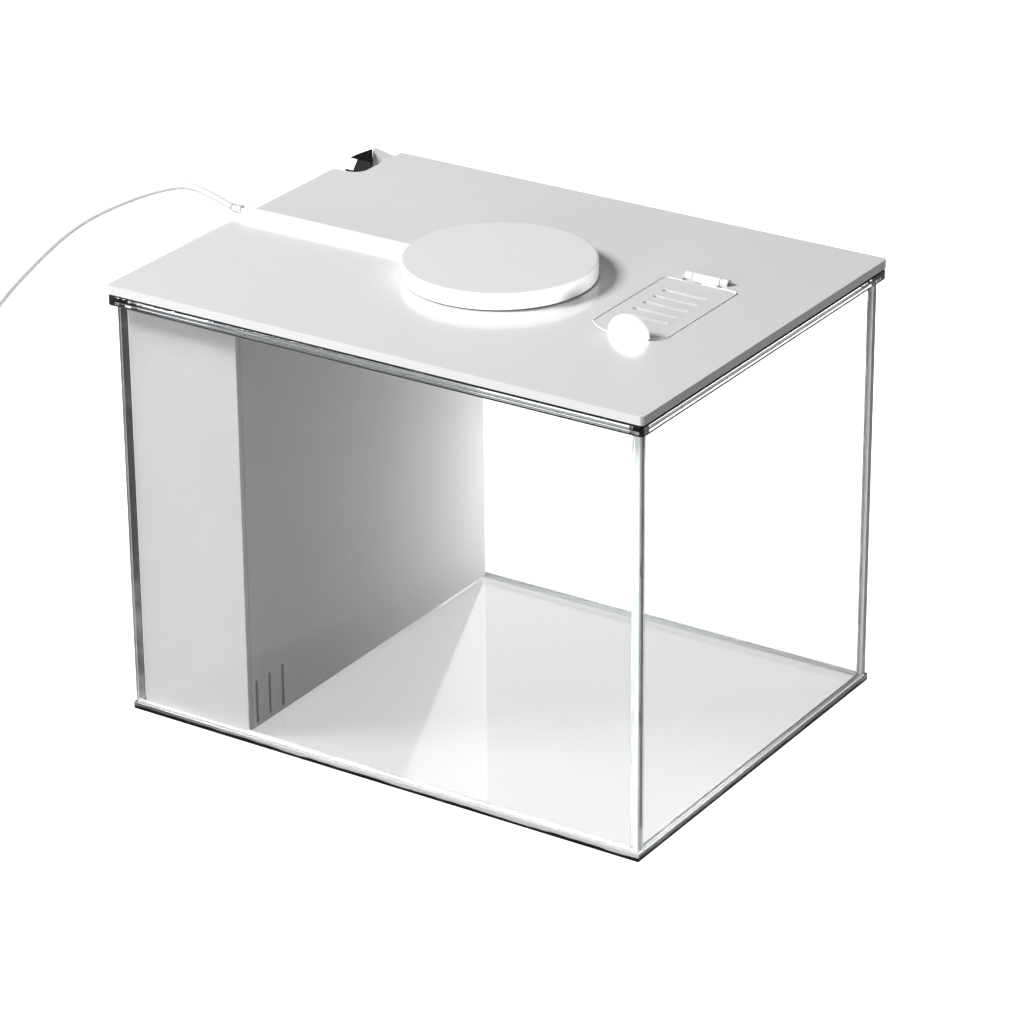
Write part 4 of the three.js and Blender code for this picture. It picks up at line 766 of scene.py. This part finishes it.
# -------------------- lid
# One white gloss moulding that rests on the rim by four soft pads, with an opening for the lamp, a ledge that
# the hatch rests on and a notch at the rear left for leads. Clear strips bonded below keep it in place.
lid_white = plastic("white_gloss_lid", (0.84, 0.84, 0.842), 0.24, 0.03, 0.015, 1100.0, 1.5, 0.012)
lid_white.node_tree.nodes["Principled BSDF"].inputs["Coat Weight"].default_value = 0.6
as_drawn("lid_plate", "lid_moulding", "white_gloss", lid_white, 0.45, 3, 40)
for side in ("front", "rear", "left", "right"):
    strip = "lid_strip_" + side
    as_drawn(strip, strip + "_acrylic", "clear_plastic", clear_acrylic, 0.25)
PAD_PROFILE = ((0, 0), (2.2, 0), (2.5, 0.12), (2.6, 0.4), (2.55, 0.7), (2.45, 1.0), (0, 1.0))
for side in ("front_left", "front_right", "rear_left", "rear_right"):
    pad = "lid_pad_" + side
    settle(turned(pad + "_bumper", PAD_PROFILE, foot_of(pad), 32, 50), pad, "silicone", silicone_clear)

# -------------------- hatch
# The feeding hatch: a thin flap in the lid's gloss white, with five vent slots and a fine raised lip round its
# edge in a brighter white, which is partly a painted highlight. A half-round finger tab is pressed into its
# front, and its knuckle turns on a steel pin between two knuckles on the lid.
# A brighter white than the lid's: partly painted light on the finger tab, the lamp's arm and the hatch's lip.
trim_white = plastic("white_gloss_trim", (0.92, 0.92, 0.92), 0.2, 0.03, 0.015, 1100.0, 1.5, 0.012)
as_drawn("hatch_flap", "hatch_moulding", "white_gloss", lid_white, 0.2, 2, 40)
as_drawn("hatch_tab", "finger_tab", "white_gloss", trim_white, 0.5, 4, 50)

LID_THICK = 4.5 * MM
HATCH_LIP = (0.45 * MM, 0.3 * MM)
HATCH_BOW = 9.4 * MM
HATCH_SIDE = 66 * MM
HATCH_CORNER = 3 * MM
low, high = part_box("hatch_flap")
hatch_x, hatch_half = (low.x + high.x) / 2, (high.x - low.x) / 2 - HATCH_LIP[0]
front_y = low.y + HATCH_BOW
rear_y = front_y + HATCH_SIDE - HATCH_LIP[0]
bow = HATCH_BOW - HATCH_LIP[0]
bow_radius = (hatch_half ** 2 + bow ** 2) / (2 * bow)
sweep = atan2(hatch_half, bow_radius - bow)
top_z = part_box("lid_plate")[0].z + LID_THICK


def lip_corner(side, first):
    """A quarter turn round one of the rear corners, from an angle in degrees."""
    turns = [radians(first + 15 * k) for k in range(7)]
    middle_x = hatch_x + side * (hatch_half - HATCH_CORNER)
    return [Vector((middle_x + HATCH_CORNER * cos(a), rear_y - HATCH_CORNER + HATCH_CORNER * sin(a), top_z))
            for a in turns]


bow_turns = [-sweep + 2 * sweep * k / 24 for k in range(25)]
bow_y = front_y - bow + bow_radius
lip_front = [Vector((hatch_x + bow_radius * sin(a), bow_y - bow_radius * cos(a), top_z)) for a in bow_turns]
rear_middle = Vector((hatch_x, rear_y, top_z))
lip_line = [rear_middle, *lip_corner(-1, 90), *lip_front, *lip_corner(1, 0), rear_middle]
lip_outline = ellipse(*HATCH_LIP, 10)
# A real raised lip, its brighter white partly a painted highlight along the hatch's outline.
lip = swept_shell("hatch_edge_lip", lip_line, lambda i: lip_outline)
added(lip, "hatch", "white_gloss", trim_white)


def steel_finish():
    """Plain drawn steel: fine lines and a little unevenness in its shine."""
    made, tree, shader, place = start_finish("drawn_steel")
    drawn = put(tree, "ShaderNodeMapping", {"Vector": place, "Scale": (0.1, 1, 1)})
    lines = cloudy(tree, drawn.outputs[0], 1800.0)
    rough = mapped(tree, lines, to=(0.18, 0.4))
    tone = shades(tree, lines, (0.48, 0.48, 0.49), (0.66, 0.66, 0.67))
    feed(tree, shader, {"Base Color": tone, "Roughness": rough, "Metallic": 1})
    return made


drawn_steel = steel_finish()
as_drawn("hinge_pin", "hatch_hinge_pin", "steel", drawn_steel, 0.15)

# -------------------- corner fittings
# A matt black rubber grommet in the lid's notch, clipped inside the rim, with a ramp at its front end and
# grooves below for leads; the ramp's outer part is white, a painted highlight. Behind it, along a slanting
# joint, a white moulded cap falls to the lid.
PAINTED_HIGHLIGHT_WIDTH = 5 * MM
grommet_black = plastic("matt_black_rubber", (0.004, 0.004, 0.004), 0.6, 0.06, 0.2, 300.0, 1.0, 0.01,
                        Specular_IOR_Level=0.15)
grommet = welded("cable_grommet", "grommet_rubber", 20)
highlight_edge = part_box("cable_grommet")[0].x + PAINTED_HIGHLIGHT_WIDTH
bm = bmesh.new()
bm.from_mesh(grommet.data)
everything = bm.verts[:] + bm.edges[:] + bm.faces[:]
bmesh.ops.bisect_plane(bm, geom=everything, plane_co=(highlight_edge, 0, 0), plane_no=X)
# Ramp faces on the outer side of the highlight edge take the white: a painted highlight.
for face in bm.faces:
    on_ramp = face.normal.y < -0.5 and face.normal.z > 0.3
    face.material_index = int(on_ramp and face.calc_center_median().x < highlight_edge)
bm.to_mesh(grommet.data)
bm.free()
settle(ease_edges(grommet, 0.4 * MM, 3, 30), "cable_grommet", "black_rubber", grommet_black, trim_white)
cap_white = plastic("white_satin_cap", (0.80, 0.80, 0.80), 0.4, 0.04, 0.02, 900.0, 1.0, 0.015)
as_drawn("corner_cap", "corner_cap_moulding", "white_gloss", cap_white, 0.35)

# -------------------- lamp
# A shallow round lamp on top of the lid: a gloss white shell over a base ring, held from below by three
# screws, with an opal cover that fills the lid's opening and a board of light-emitting diodes above it. A
# white arm covers the lead from the lid's left edge to the lamp.
lamp_white = plastic("white_gloss_lamp", (0.77, 0.77, 0.77), 0.22, 0.03, 0.01, 1100.0, 1.2, 0.01)
as_drawn("lamp_shell", "lamp_shell_moulding", "white_gloss", lamp_white, 0.3, 2, 40, smooth=32)
as_drawn("lamp_base", "lamp_base_ring", "white_panel", white_sheet, 0.2, 1, 40)
as_drawn("lamp_arm", "lead_cover", "white_gloss", trim_white, 0.35, 2, 40)


def opal_finish():
    """Opal sheet with a fine matt face, which spreads the light behind it."""
    made, tree, shader, place = start_finish("opal_diffuser")
    grain = cloudy(tree, place, 1500.0, 1.0)
    feed(tree, shader, {"Base Color": (0.86, 0.86, 0.84, 1), "Subsurface Weight": 0.4,
                        "Subsurface Radius": (0.004, 0.004, 0.004)})
    rough = mapped(tree, grain, to=(0.4, 0.6))
    tree.links.new(rough, shader.inputs["Roughness"])
    bumpy(tree, shader, grain, 0.4, 0.00003)
    return made


opal = opal_finish()
as_drawn("lamp_diffuser", "opal_cover", "opal", opal, 0.3, 2, 40)

# The board is white solder mask over aluminium, with square packages in a ring.
board_white, tree, shader, place = start_finish("white_solder_mask")
trace = put(tree, "ShaderNodeTexWave",
            {"Vector": place, "Scale": 60.0, "Distortion": 1.5}, wave_type="RINGS")
line = mapped(tree, trace.outputs["Fac"], (0.86, 0.94))
tone = shades(tree, line, (0.74, 0.74, 0.71), (0.66, 0.67, 0.62))
feed(tree, shader, {"Base Color": tone, "Roughness": 0.35})
bumpy(tree, shader, line, 0.5, 0.00004)
phosphor, tree, shader, place = start_finish("yellow_phosphor")
cloud = cloudy(tree, place, 2500.0)
tone = shades(tree, cloud, (0.75, 0.58, 0.06), (0.85, 0.72, 0.16))
feed(tree, shader, {"Base Color": tone, "Roughness": 0.3})

LED_COUNT = 16
LED_CIRCLE = 27 * MM
LED_HALF = 1.5 * MM
LED_THICK = 0.7 * MM
LED_DOME = 1.1 * MM
LED_DROP = 0.36 * MM
BOARD_LIFT = 0.8 * MM
led_low, led_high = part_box("led_board")
shell_low, shell_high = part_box("lamp_shell")
lamp_middle = Vector(((shell_low.x + shell_high.x) / 2, (shell_low.y + shell_high.y) / 2, 0))
board_under = led_low.z + BOARD_LIFT
board_radius = (led_high.x - led_low.x) / 2
BOARD_THICK = 1.4
r_mm = board_radius / MM
board = turned("led_board_disc", [(0, 0), (r_mm - 0.1, 0), (r_mm, 0.1), (r_mm, BOARD_THICK - 0.1),
                                  (r_mm - 0.1, BOARD_THICK), (0, BOARD_THICK)],
               lamp_middle + Z * board_under, 96, 40)
chip_bm = bmesh.new()
bmesh.ops.create_cube(chip_bm, size=1, matrix=Matrix.Diagonal((2 * LED_HALF, 2 * LED_HALF, LED_THICK, 1)))
bmesh.ops.bevel(chip_bm, geom=chip_bm.edges[:], offset=0.08 * MM, segments=1, affect="EDGES")
dome = bmesh.ops.create_uvsphere(chip_bm, u_segments=14, v_segments=8, radius=LED_DOME)["verts"]
for v in dome:
    v.co.z = v.co.z * 0.25 - 0.3 * MM
chip_mesh = ended(chip_bm, "led_package", smooth=False)
for face in chip_mesh.polygons:
    face.material_index = int(len(face.vertices) < 5 and face.center.z < -0.31 * MM
                              and face.center.xy.length < 1.12 * MM and face.area < 0.3 * MM * MM)
chip_mesh.materials.append(white_nylon)
chip_mesh.materials.append(phosphor)
chip_object = bpy.data.objects.new("led_package", chip_mesh)

circle, given, out = new_group(
    "ring_of_parts", "GeometryNodeTree",
    [("Geometry", "NodeSocketGeometry", None), ("Part", "NodeSocketObject", None),
     ("Count", "NodeSocketInt", 16), ("Radius", "NodeSocketFloat", 0.02),
     ("Centre", "NodeSocketVector", None), ("Turn", "NodeSocketFloat", 0.0)],
    [("Geometry", "NodeSocketGeometry")],
)
ring = put(circle, "GeometryNodeMeshCircle", {"Vertices": given["Count"], "Radius": given["Radius"]})
swung = put(circle, "GeometryNodeTransform", {"Geometry": ring.outputs[0], "Translation": given["Centre"]})
swing = put(circle, "ShaderNodeCombineXYZ", {"Z": given["Turn"]})
circle.links.new(swing.outputs[0], swung.inputs["Rotation"])
part = put(circle, "GeometryNodeObjectInfo", {"Object": given["Part"]})
index = put(circle, "GeometryNodeInputIndex")
step = sums(circle, 2 * pi, given["Count"], "DIVIDE")
angle = sums(circle, index.outputs[0], step, "MULTIPLY")
facing = put(circle, "ShaderNodeCombineXYZ", {"Z": angle})
placed = put(circle, "GeometryNodeInstanceOnPoints",
             {"Points": swung.outputs[0], "Instance": part.outputs["Geometry"], "Rotation": facing.outputs[0]})
real = put(circle, "GeometryNodeRealizeInstances", {"Geometry": placed.outputs[0]})
circle.links.new(real.outputs[0], out.inputs[0])
blank = linked("blank", bpy.data.meshes.new("blank"))
chips = grown("led_packages", blank, circle,
              {"Part": chip_object, "Count": LED_COUNT, "Radius": LED_CIRCLE, "Turn": 0.0,
               "Centre": tuple(lamp_middle + Z * (board_under - LED_DROP))})
bpy.data.objects.remove(chip_object)
added(chips, "lid", "circuit_board")
settle(board, "led_board", "circuit_board", board_white)

# Pan-head screws in plain steel, each with a round hollow in its head.
SCREW_HEAD = ((0, 0.55), (0.7, 0.5), (1.5, 0.12), (2.2, 0.35), (2.48, 0.8), (2.5, 1.35), (2.4, 1.5),
              (1.25, 1.55))
for k in (1, 2, 3):
    screw = f"lamp_screw_{k}"
    low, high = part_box(screw)
    tall = (high.z - low.z) / MM
    thread = [(1.2 - 0.22 * (n % 2), 1.7 + n * 0.3) for n in range(int((tall - 2.0) / 0.3))]
    outline = [*SCREW_HEAD, *thread, (0.9, tall - 0.1), (0, tall)]
    piece = turned(screw + "_pan_head", outline, foot_of(screw), 28, 45)
    settle(piece, screw, "steel", drawn_steel)

# -------------------- lead
# The lamp's lead: soft white PVC, 3.6 mm thick and 1.4 m long to its plug. It leaves the arm through a moulded
# strain relief, rises a little, falls to the table, and its spare length lies wound in a tied coil.
LEAD_RADIUS = 1.8 * MM
LEAD_SIDES = 16
lead_route = [
    (-155.5, -3, 230.3), (-160, -3, 231.5), (-166, -3, 233.3), (-172, -3, 234.9), (-178, -3, 235.9),
    (-184, -3, 235.9), (-190, -3, 234.7), (-196, -3, 232.7), (-203, -3, 230), (-212, -3, 226), (-222, -3, 221),
    (-233, -3, 215), (-244, -3, 208.4), (-255, -3, 200.8), (-266, -3, 191.8), (-277, -3, 181.6),
    (-288, -3, 170.7), (-298, -3.2, 160.3), (-308, -4, 148.6), (-317, -6, 136), (-324, -9.6, 122.5),
    (-329.3, -14.6, 108), (-333, -21, 92.5), (-335.2, -28.6, 76.6), (-336.2, -37, 60.6), (-336.2, -46, 45),
    (-335.2, -55, 30.6), (-333.6, -63.4, 18.4), (-331.6, -71, 8.8), (-329.7, -77.6, 3.4), (-327.7, -82.6, 2.1),
]
COIL_MIDDLE = Vector((-300, -80, 0)) * MM
COIL_RADII = (23.7, 20.0, 16.3)
COIL_LAYERS = (1.95, 5.65, 9.35)
COIL_JOIN = pi + 0.9
PLUG_TAIL = (18.0, 15.3)


def ease(value):
    """A soft start and end between 0 and 1."""
    value = max(0.0, min(1.0, value))
    return value * value * (3 - 2 * value)


def stepped(angle, changes):
    """A value that moves to the next level over each (start, end, level), in degrees of winding."""
    level = changes[0][2]
    for start, end, to in changes[1:]:
        level += (to - level) * ease((angle - start) / (end - start))
    return level


outer, between, inner = COIL_RADII
layer1, layer2, layer3 = COIL_LAYERS
COIL_TURN = 2828.4
COIL_STEP = 6
widths = ((0, 0, outer), (270, 360, between), (630, 720, inner), (1170, 1260, between), (1530, 1620, outer),
          (2070, 2160, between), (2430, 2520, inner), (COIL_TURN - 45, COIL_TURN, PLUG_TAIL[0]))
heights = ((0, 0, layer1), (900, 990, layer2), (1800, 1890, layer3),
           (COIL_TURN - 90, COIL_TURN, PLUG_TAIL[1]))
coil = []
for step in range(int(COIL_TURN / COIL_STEP) + 1):
    wound = min(step * COIL_STEP, COIL_TURN)
    theta = COIL_JOIN + radians(wound)
    r = stepped(wound, widths)
    coil.append(COIL_MIDDLE + Vector((r * cos(theta), r * sin(theta), stepped(wound, heights))) * MM)
theta = COIL_JOIN + radians(COIL_TURN)
coil.append(COIL_MIDDLE + Vector((PLUG_TAIL[0] * cos(theta), PLUG_TAIL[0] * sin(theta), PLUG_TAIL[1])) * MM)


def through(points, pieces):
    """A smooth line through points, as a list of close points."""
    line = []
    padded = [points[0] * 2 - points[1], *points, points[-1] * 2 - points[-2]]
    for a, b, c, d in zip(padded, padded[1:], padded[2:], padded[3:]):
        for k in range(pieces):
            t = k / pieces
            line.append(0.5 * (2 * b + (c - a) * t + (2 * a - 5 * b + 4 * c - d) * t * t
                               + (3 * b - a - 3 * c + d) * t ** 3))
    return line + [points[-1]]


falling = [Vector(p) * MM for p in lead_route]
joining = []
start, end = falling[-1], coil[0]
into = (coil[1] - coil[0]).normalized()
out_of = Vector((2.0, -5.0, -0.25)).normalized()
reach = (end - start).length
for k in (0.33, 0.67):
    h = (2 * k ** 3 - 3 * k * k + 1, k ** 3 - 2 * k * k + k, -2 * k ** 3 + 3 * k * k, k ** 3 - k * k)
    joining.append(start * h[0] + out_of * reach * h[1] + end * h[2] + into * reach * h[3])
lead_line = through(falling + joining + coil, 3)
around_lead = ellipse(LEAD_RADIUS, LEAD_RADIUS, LEAD_SIDES)
lead = swept_shell("lamp_lead", lead_line, lambda i: around_lead)
lead_white = plastic("soft_white_pvc", (0.86, 0.86, 0.86), 0.22, 0.05, 0.02, 1500.0, 0.6, 0.02,
                     Coat_Weight=1.0, Coat_IOR=1.9, Coat_Roughness=0.12)
lead.data.materials.append(lead_white)
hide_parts("lamp_cord", "cord_coil")
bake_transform(lead, "root", "lid", start=(-0.30, -0.003, 0.150), end=(-0.165, -0.003, 0.235))

# Inside the arm the same lead runs on, stripped of its jacket.
as_drawn("lamp_wire", "lamp_inner_lead", "cord_white", lead_white, 0.2)

# Strain relief and plug are moulded onto the lead in the same white; the relief is ribbed to bend evenly.
low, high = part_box("cord_gland")
gland_axis = Vector((0, (low.y + high.y) / 2, (low.z + high.z) / 2))
relief = []
GLAND_STEPS = 44
GLAND_STEM = 1.56 * MM
GLAND_RADIUS, GLAND_TAPER = 2.6, 0.5
GLAND_RIB = 0.22 * MM
ARM_END = -150 * MM
for k in range(GLAND_STEPS + 1):
    t = k / GLAND_STEPS
    x = high.x + (low.x - high.x) * t
    if x > ARM_END:
        r = GLAND_STEM
    else:
        taper = (ARM_END - x) / (ARM_END - low.x)
        r = (GLAND_RADIUS - GLAND_TAPER * taper) * MM - (GLAND_RIB if 0.12 < taper < 0.9 and k % 4 < 2 else 0)
    relief.append((Vector((x, gland_axis.y, gland_axis.z)), r))
gland = swept_shell("lead_strain_relief", [p for p, r in relief],
                    lambda i: ellipse(relief[i][1], relief[i][1], 24))
gland.data.set_sharp_from_angle(angle=radians(40))
settle(gland, "cord_gland", "cord_white", lead_white)


def rounded(half_x, half_z, corner, steps=5):
    """An outline with round corners, as (across, up) pairs."""
    ring = []
    for cx, cz, start in ((1, 1, 0), (-1, 1, 90), (-1, -1, 180), (1, -1, 270)):
        for k in range(steps + 1):
            a = radians(start + 90 * k / steps)
            ring.append((cx * (half_x - corner) + corner * cos(a), cz * (half_z - corner) + corner * sin(a)))
    return ring


low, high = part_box("usb_plug")
plug_middle = (low + high) / 2
plug_half = ((high.x - low.x) / 2, (high.z - low.z) / 2)
PLUG_STEPS = 48
PLUG_NECK = 0.34
plug_line = [Vector((plug_middle.x, high.y + (low.y - high.y) * k / PLUG_STEPS, plug_middle.z))
             for k in range(PLUG_STEPS + 1)]


def plug_section(i):
    """Narrow at the lead, ribbed for a third of its length, then full width with soft shoulders."""
    t = i / PLUG_STEPS
    if t < PLUG_NECK:
        size = 0.34 + 0.16 * t / PLUG_NECK - (0.05 if 0.04 < t < 0.30 and i % 4 < 2 else 0)
        wide, tall = plug_half[0] * size, plug_half[1] * (size + 0.14)
        corner = min(wide, tall) * 0.95
    else:
        grow = sqrt(max(0.0, min(1.0, (t - PLUG_NECK) / 0.12)))
        end = 1 - 0.06 * max(0.0, (t - 0.96) / 0.04)
        wide = plug_half[0] * (0.5 + 0.5 * grow) * end
        tall = plug_half[1] * (0.64 + 0.36 * grow) * end
        corner = (1.2 + 1.0 * (1 - grow)) * MM
    return rounded(wide, tall, corner)


plug = swept_shell("plug_moulding", plug_line, plug_section)
plug.data.set_sharp_from_angle(angle=radians(38))
settle(plug, "usb_plug", "cord_white", lead_white)
contact = as_drawn("usb_contact", "plug_contact_shell", "steel", drawn_steel, 0.12)
low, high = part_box("usb_contact")
points, faces = [], []
bar(points, faces, low + Vector((0.6, 0.4, 0.5)) * MM, (high.x - 0.6 * MM, high.y - 1 * MM, low.z + 2.3 * MM))
tongue = shell("plug_contact_tongue", points, faces, smooth=False)
added(tongue, "root", "black_plastic", satin_black)

# A paper-covered wire tie holds the coil: a flat strip once round the turns, with its two ends twisted.
TIE_ANGLE = radians(-62)
TIE_HALF = (6.1 * MM, 5.55 * MM)
TIE_WIDE, TIE_THICK = 1.6 * MM, 0.12 * MM
TIE_HEIGHT = 5.85 * MM
TIE_WIRE = 0.35 * MM
TWIST_RADIUS, TWIST_RISE = 0.7 * MM, 0.32 * MM
tie_out = Vector((cos(TIE_ANGLE), sin(TIE_ANGLE), 0))
tie_middle = COIL_MIDDLE + tie_out * between * MM + Z * TIE_HEIGHT
loop = [tie_middle + tie_out * a + Z * b for a, b in rounded(*TIE_HALF, 2.2 * MM, 6)]
points, faces = [], []
flat = [(TIE_WIDE, TIE_THICK), (-TIE_WIDE, TIE_THICK), (-TIE_WIDE, -TIE_THICK), (TIE_WIDE, -TIE_THICK)]
side = tie_out.cross(Z)
n = len(loop)
for i, p in enumerate(loop):
    ahead = (loop[(i + 1) % n] - loop[i - 1]).normalized()
    outward = ahead.cross(side)
    points += [p + side * a + outward * b for a, b in flat]
for i in range(n):
    a, b = i * 4, (i + 1) % n * 4
    faces += [(a + k, a + (k + 1) % 4, b + (k + 1) % 4, b + k) for k in range(4)]
for hand in (1, -1):
    twist = [tie_middle + Z * (TIE_HALF[1] + 0.2 * MM + TWIST_RISE * k)
             + tie_out * (TWIST_RADIUS * hand * cos(k * 0.9)) + side * (TWIST_RADIUS * hand * sin(k * 0.9))
             for k in range(16)]
    wire = ellipse(TIE_WIRE, TIE_WIRE, 8)
    swept(twist, lambda i: wire, points, faces)
tie = shell("lead_tie", points, faces)
tie.data.set_sharp_from_angle(angle=radians(40))
tie_finish = plastic("white_paper_tie", (0.74, 0.74, 0.72), 0.6, 0.08, 0.05, 900.0, 1.0, 0.04)
added(tie, "root", "cord_white", tie_finish)

# -------------------- the studio
# A plain white floor and backdrop; the floor glows less under the tank, a painted shade. A large soft light at
# the left, a low one in front and a faint one behind fall on the object alone, and a small one behind on the
# floor alone.
# A low one at the right falls on the lamp's shell, its arm and the finger tab.
TARGET = Vector((6.4, 0, 102.0)) * MM
CAMERA_AZIMUTH = 33.1
CAMERA_ELEVATION = 24.74
CAMERA_DISTANCE = 2.109
CAMERA_ROLL = -0.45
FOCAL_LENGTH = 150.9
FLOOR_HALF = 30
FLOOR_DROP = 0.2 * MM
FLOOR_FADE = 3 * MM
SOFTBOX_AWAY = 3
FLOOR_GLOW = 1.3
FLOOR_GLOW_IN_PAINTED_TANK_SHADE = 0.65
FLOOR_GLOW_CAST = 0.06
FLOOR_GLOW_MIRRORED = 0.2


def direction(azimuth, elevation):
    """Unit vector towards a place seen at that azimuth, from the front towards +X, and elevation."""
    a, e = radians(azimuth), radians(elevation)
    return Vector((sin(a) * cos(e), -cos(a) * cos(e), sin(e)))


camera = linked("camera", bpy.data.cameras.new("camera"))
camera.data.lens = FOCAL_LENGTH
camera.data.sensor_width = 36
camera.data.clip_end = 100
camera.location = TARGET + direction(CAMERA_AZIMUTH, CAMERA_ELEVATION) * CAMERA_DISTANCE
looking = (TARGET - camera.location).to_track_quat("-Z", "Y").to_matrix().to_4x4()
rolled = Matrix.Rotation(radians(CAMERA_ROLL), 4, "Z")
camera.matrix_world = Matrix.Translation(camera.location) @ looking @ rolled
bpy.context.scene.camera = camera

floor_mesh = bpy.data.meshes.new("studio_floor")
floor_mesh.from_pydata(
    [(x * FLOOR_HALF, y * FLOOR_HALF, -FLOOR_DROP) for x, y in ((-1, -1), (1, -1), (1, 1), (-1, 1))],
    [], [(0, 1, 2, 3)],
)
floor = linked("studio_floor", floor_mesh)
floor_white, tree, shader, place = start_finish("studio_floor_white")
feed(tree, shader, {"Base Color": (0.22, 0.22, 0.22, 1), "Roughness": 0.9, "Specular IOR Level": 0.1})
parts = put(tree, "ShaderNodeSeparateXYZ", {0: place})
inside = None
# Under the tank the floor's glow is turned down: a painted shade of the tank.
for axis, half in ((0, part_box("floor_pane")[1].x), (1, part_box("floor_pane")[1].y)):
    away = put(tree, "ShaderNodeMath", {0: parts.outputs[axis]}, operation="ABSOLUTE")
    near = mapped(tree, away.outputs[0], (half, half - FLOOR_FADE))
    inside = near if inside is None else sums(tree, near, inside, "MULTIPLY")
seen = mapped(tree, inside, to=(FLOOR_GLOW, FLOOR_GLOW_IN_PAINTED_TANK_SHADE))
path = put(tree, "ShaderNodeLightPath")
mirrored = mapped(tree, path.outputs["Glossy Depth"], to=(seen, FLOOR_GLOW_MIRRORED))
glow = mapped(tree, path.outputs["Diffuse Depth"], to=(mirrored, FLOOR_GLOW_CAST))
feed(tree, shader, {"Emission Color": (1, 1, 1, 1), "Emission Strength": glow})
floor_white.cycles.emission_sampling = "NONE"
floor_mesh.materials.append(floor_white)

world = bpy.data.worlds.new("studio")
bpy.context.scene.world = world
world.use_nodes = True
sky = world.node_tree
towards = put(sky, "ShaderNodeTexCoord")
height = put(sky, "ShaderNodeSeparateXYZ", {0: towards.outputs["Generated"]})
ramp = mapped(sky, height.outputs["Z"], (0.12, 0.5), (0.1, 0.2))
seen = put(sky, "ShaderNodeLightPath")
pick = mapped(sky, seen.outputs["Is Camera Ray"], to=(ramp, 1.0))
sky.links.new(pick, sky.nodes["Background"].inputs["Strength"])
sky.nodes["Background"].inputs["Color"].default_value = (1, 1, 1, 1)

all_but_floor = bpy.data.collections.new("all_but_floor")
all_but_floor.objects.link(floor)
all_but_floor.collection_objects[0].light_linking.link_state = "EXCLUDE"
floor_only = bpy.data.collections.new("floor_only")
floor_only.objects.link(floor)
trim_only = bpy.data.collections.new("trim_only")
for name in ("lamp_shell_moulding", "finger_tab", "lead_cover"):
    trim_only.objects.link(bpy.data.objects[name])


def soft_light(name, at, aim, size, power, glossy=True, falls_on=all_but_floor):
    """A softbox at a place, turned towards another, unseen by the camera."""
    lamp = bpy.data.lights.new(name, "AREA")
    lamp.shape = "RECTANGLE"
    lamp.size, lamp.size_y = size
    lamp.energy = power
    made = linked(name, lamp)
    at, aim = Vector(at), Vector(aim)
    made.matrix_world = Matrix.Translation(at) @ (aim - at).to_track_quat("-Z", "Y").to_matrix().to_4x4()
    made.visible_camera = False
    made.visible_glossy = glossy
    made.visible_transmission = False
    made.light_linking.receiver_collection = falls_on


LID_MIDDLE = (0, 0, 0.22)
soft_light("key_left", TARGET + direction(-57, 40) * SOFTBOX_AWAY, LID_MIDDLE, (0.9, 0.9), 112)
soft_light("front_low", TARGET + direction(-2, 8) * SOFTBOX_AWAY, TARGET, (1.0, 0.7), 38)
soft_light("behind_left", (-0.3245, 0.682, 0.45), (0.03, 0, 0.0), (0.012, 0.012), 21, False, floor_only)
soft_light("behind_right", (0.0, 0.2, 0.07), (-0.08, 0.04, 0.08), (0.1, 0.1), 0.8, False)
soft_light("rim_right", TARGET + direction(62, 8) * SOFTBOX_AWAY, LID_MIDDLE, (0.8, 0.3), 95, True, trim_only)
bpy.context.scene.view_settings.view_transform = "Standard"
bpy.context.scene.view_settings.look = "None"
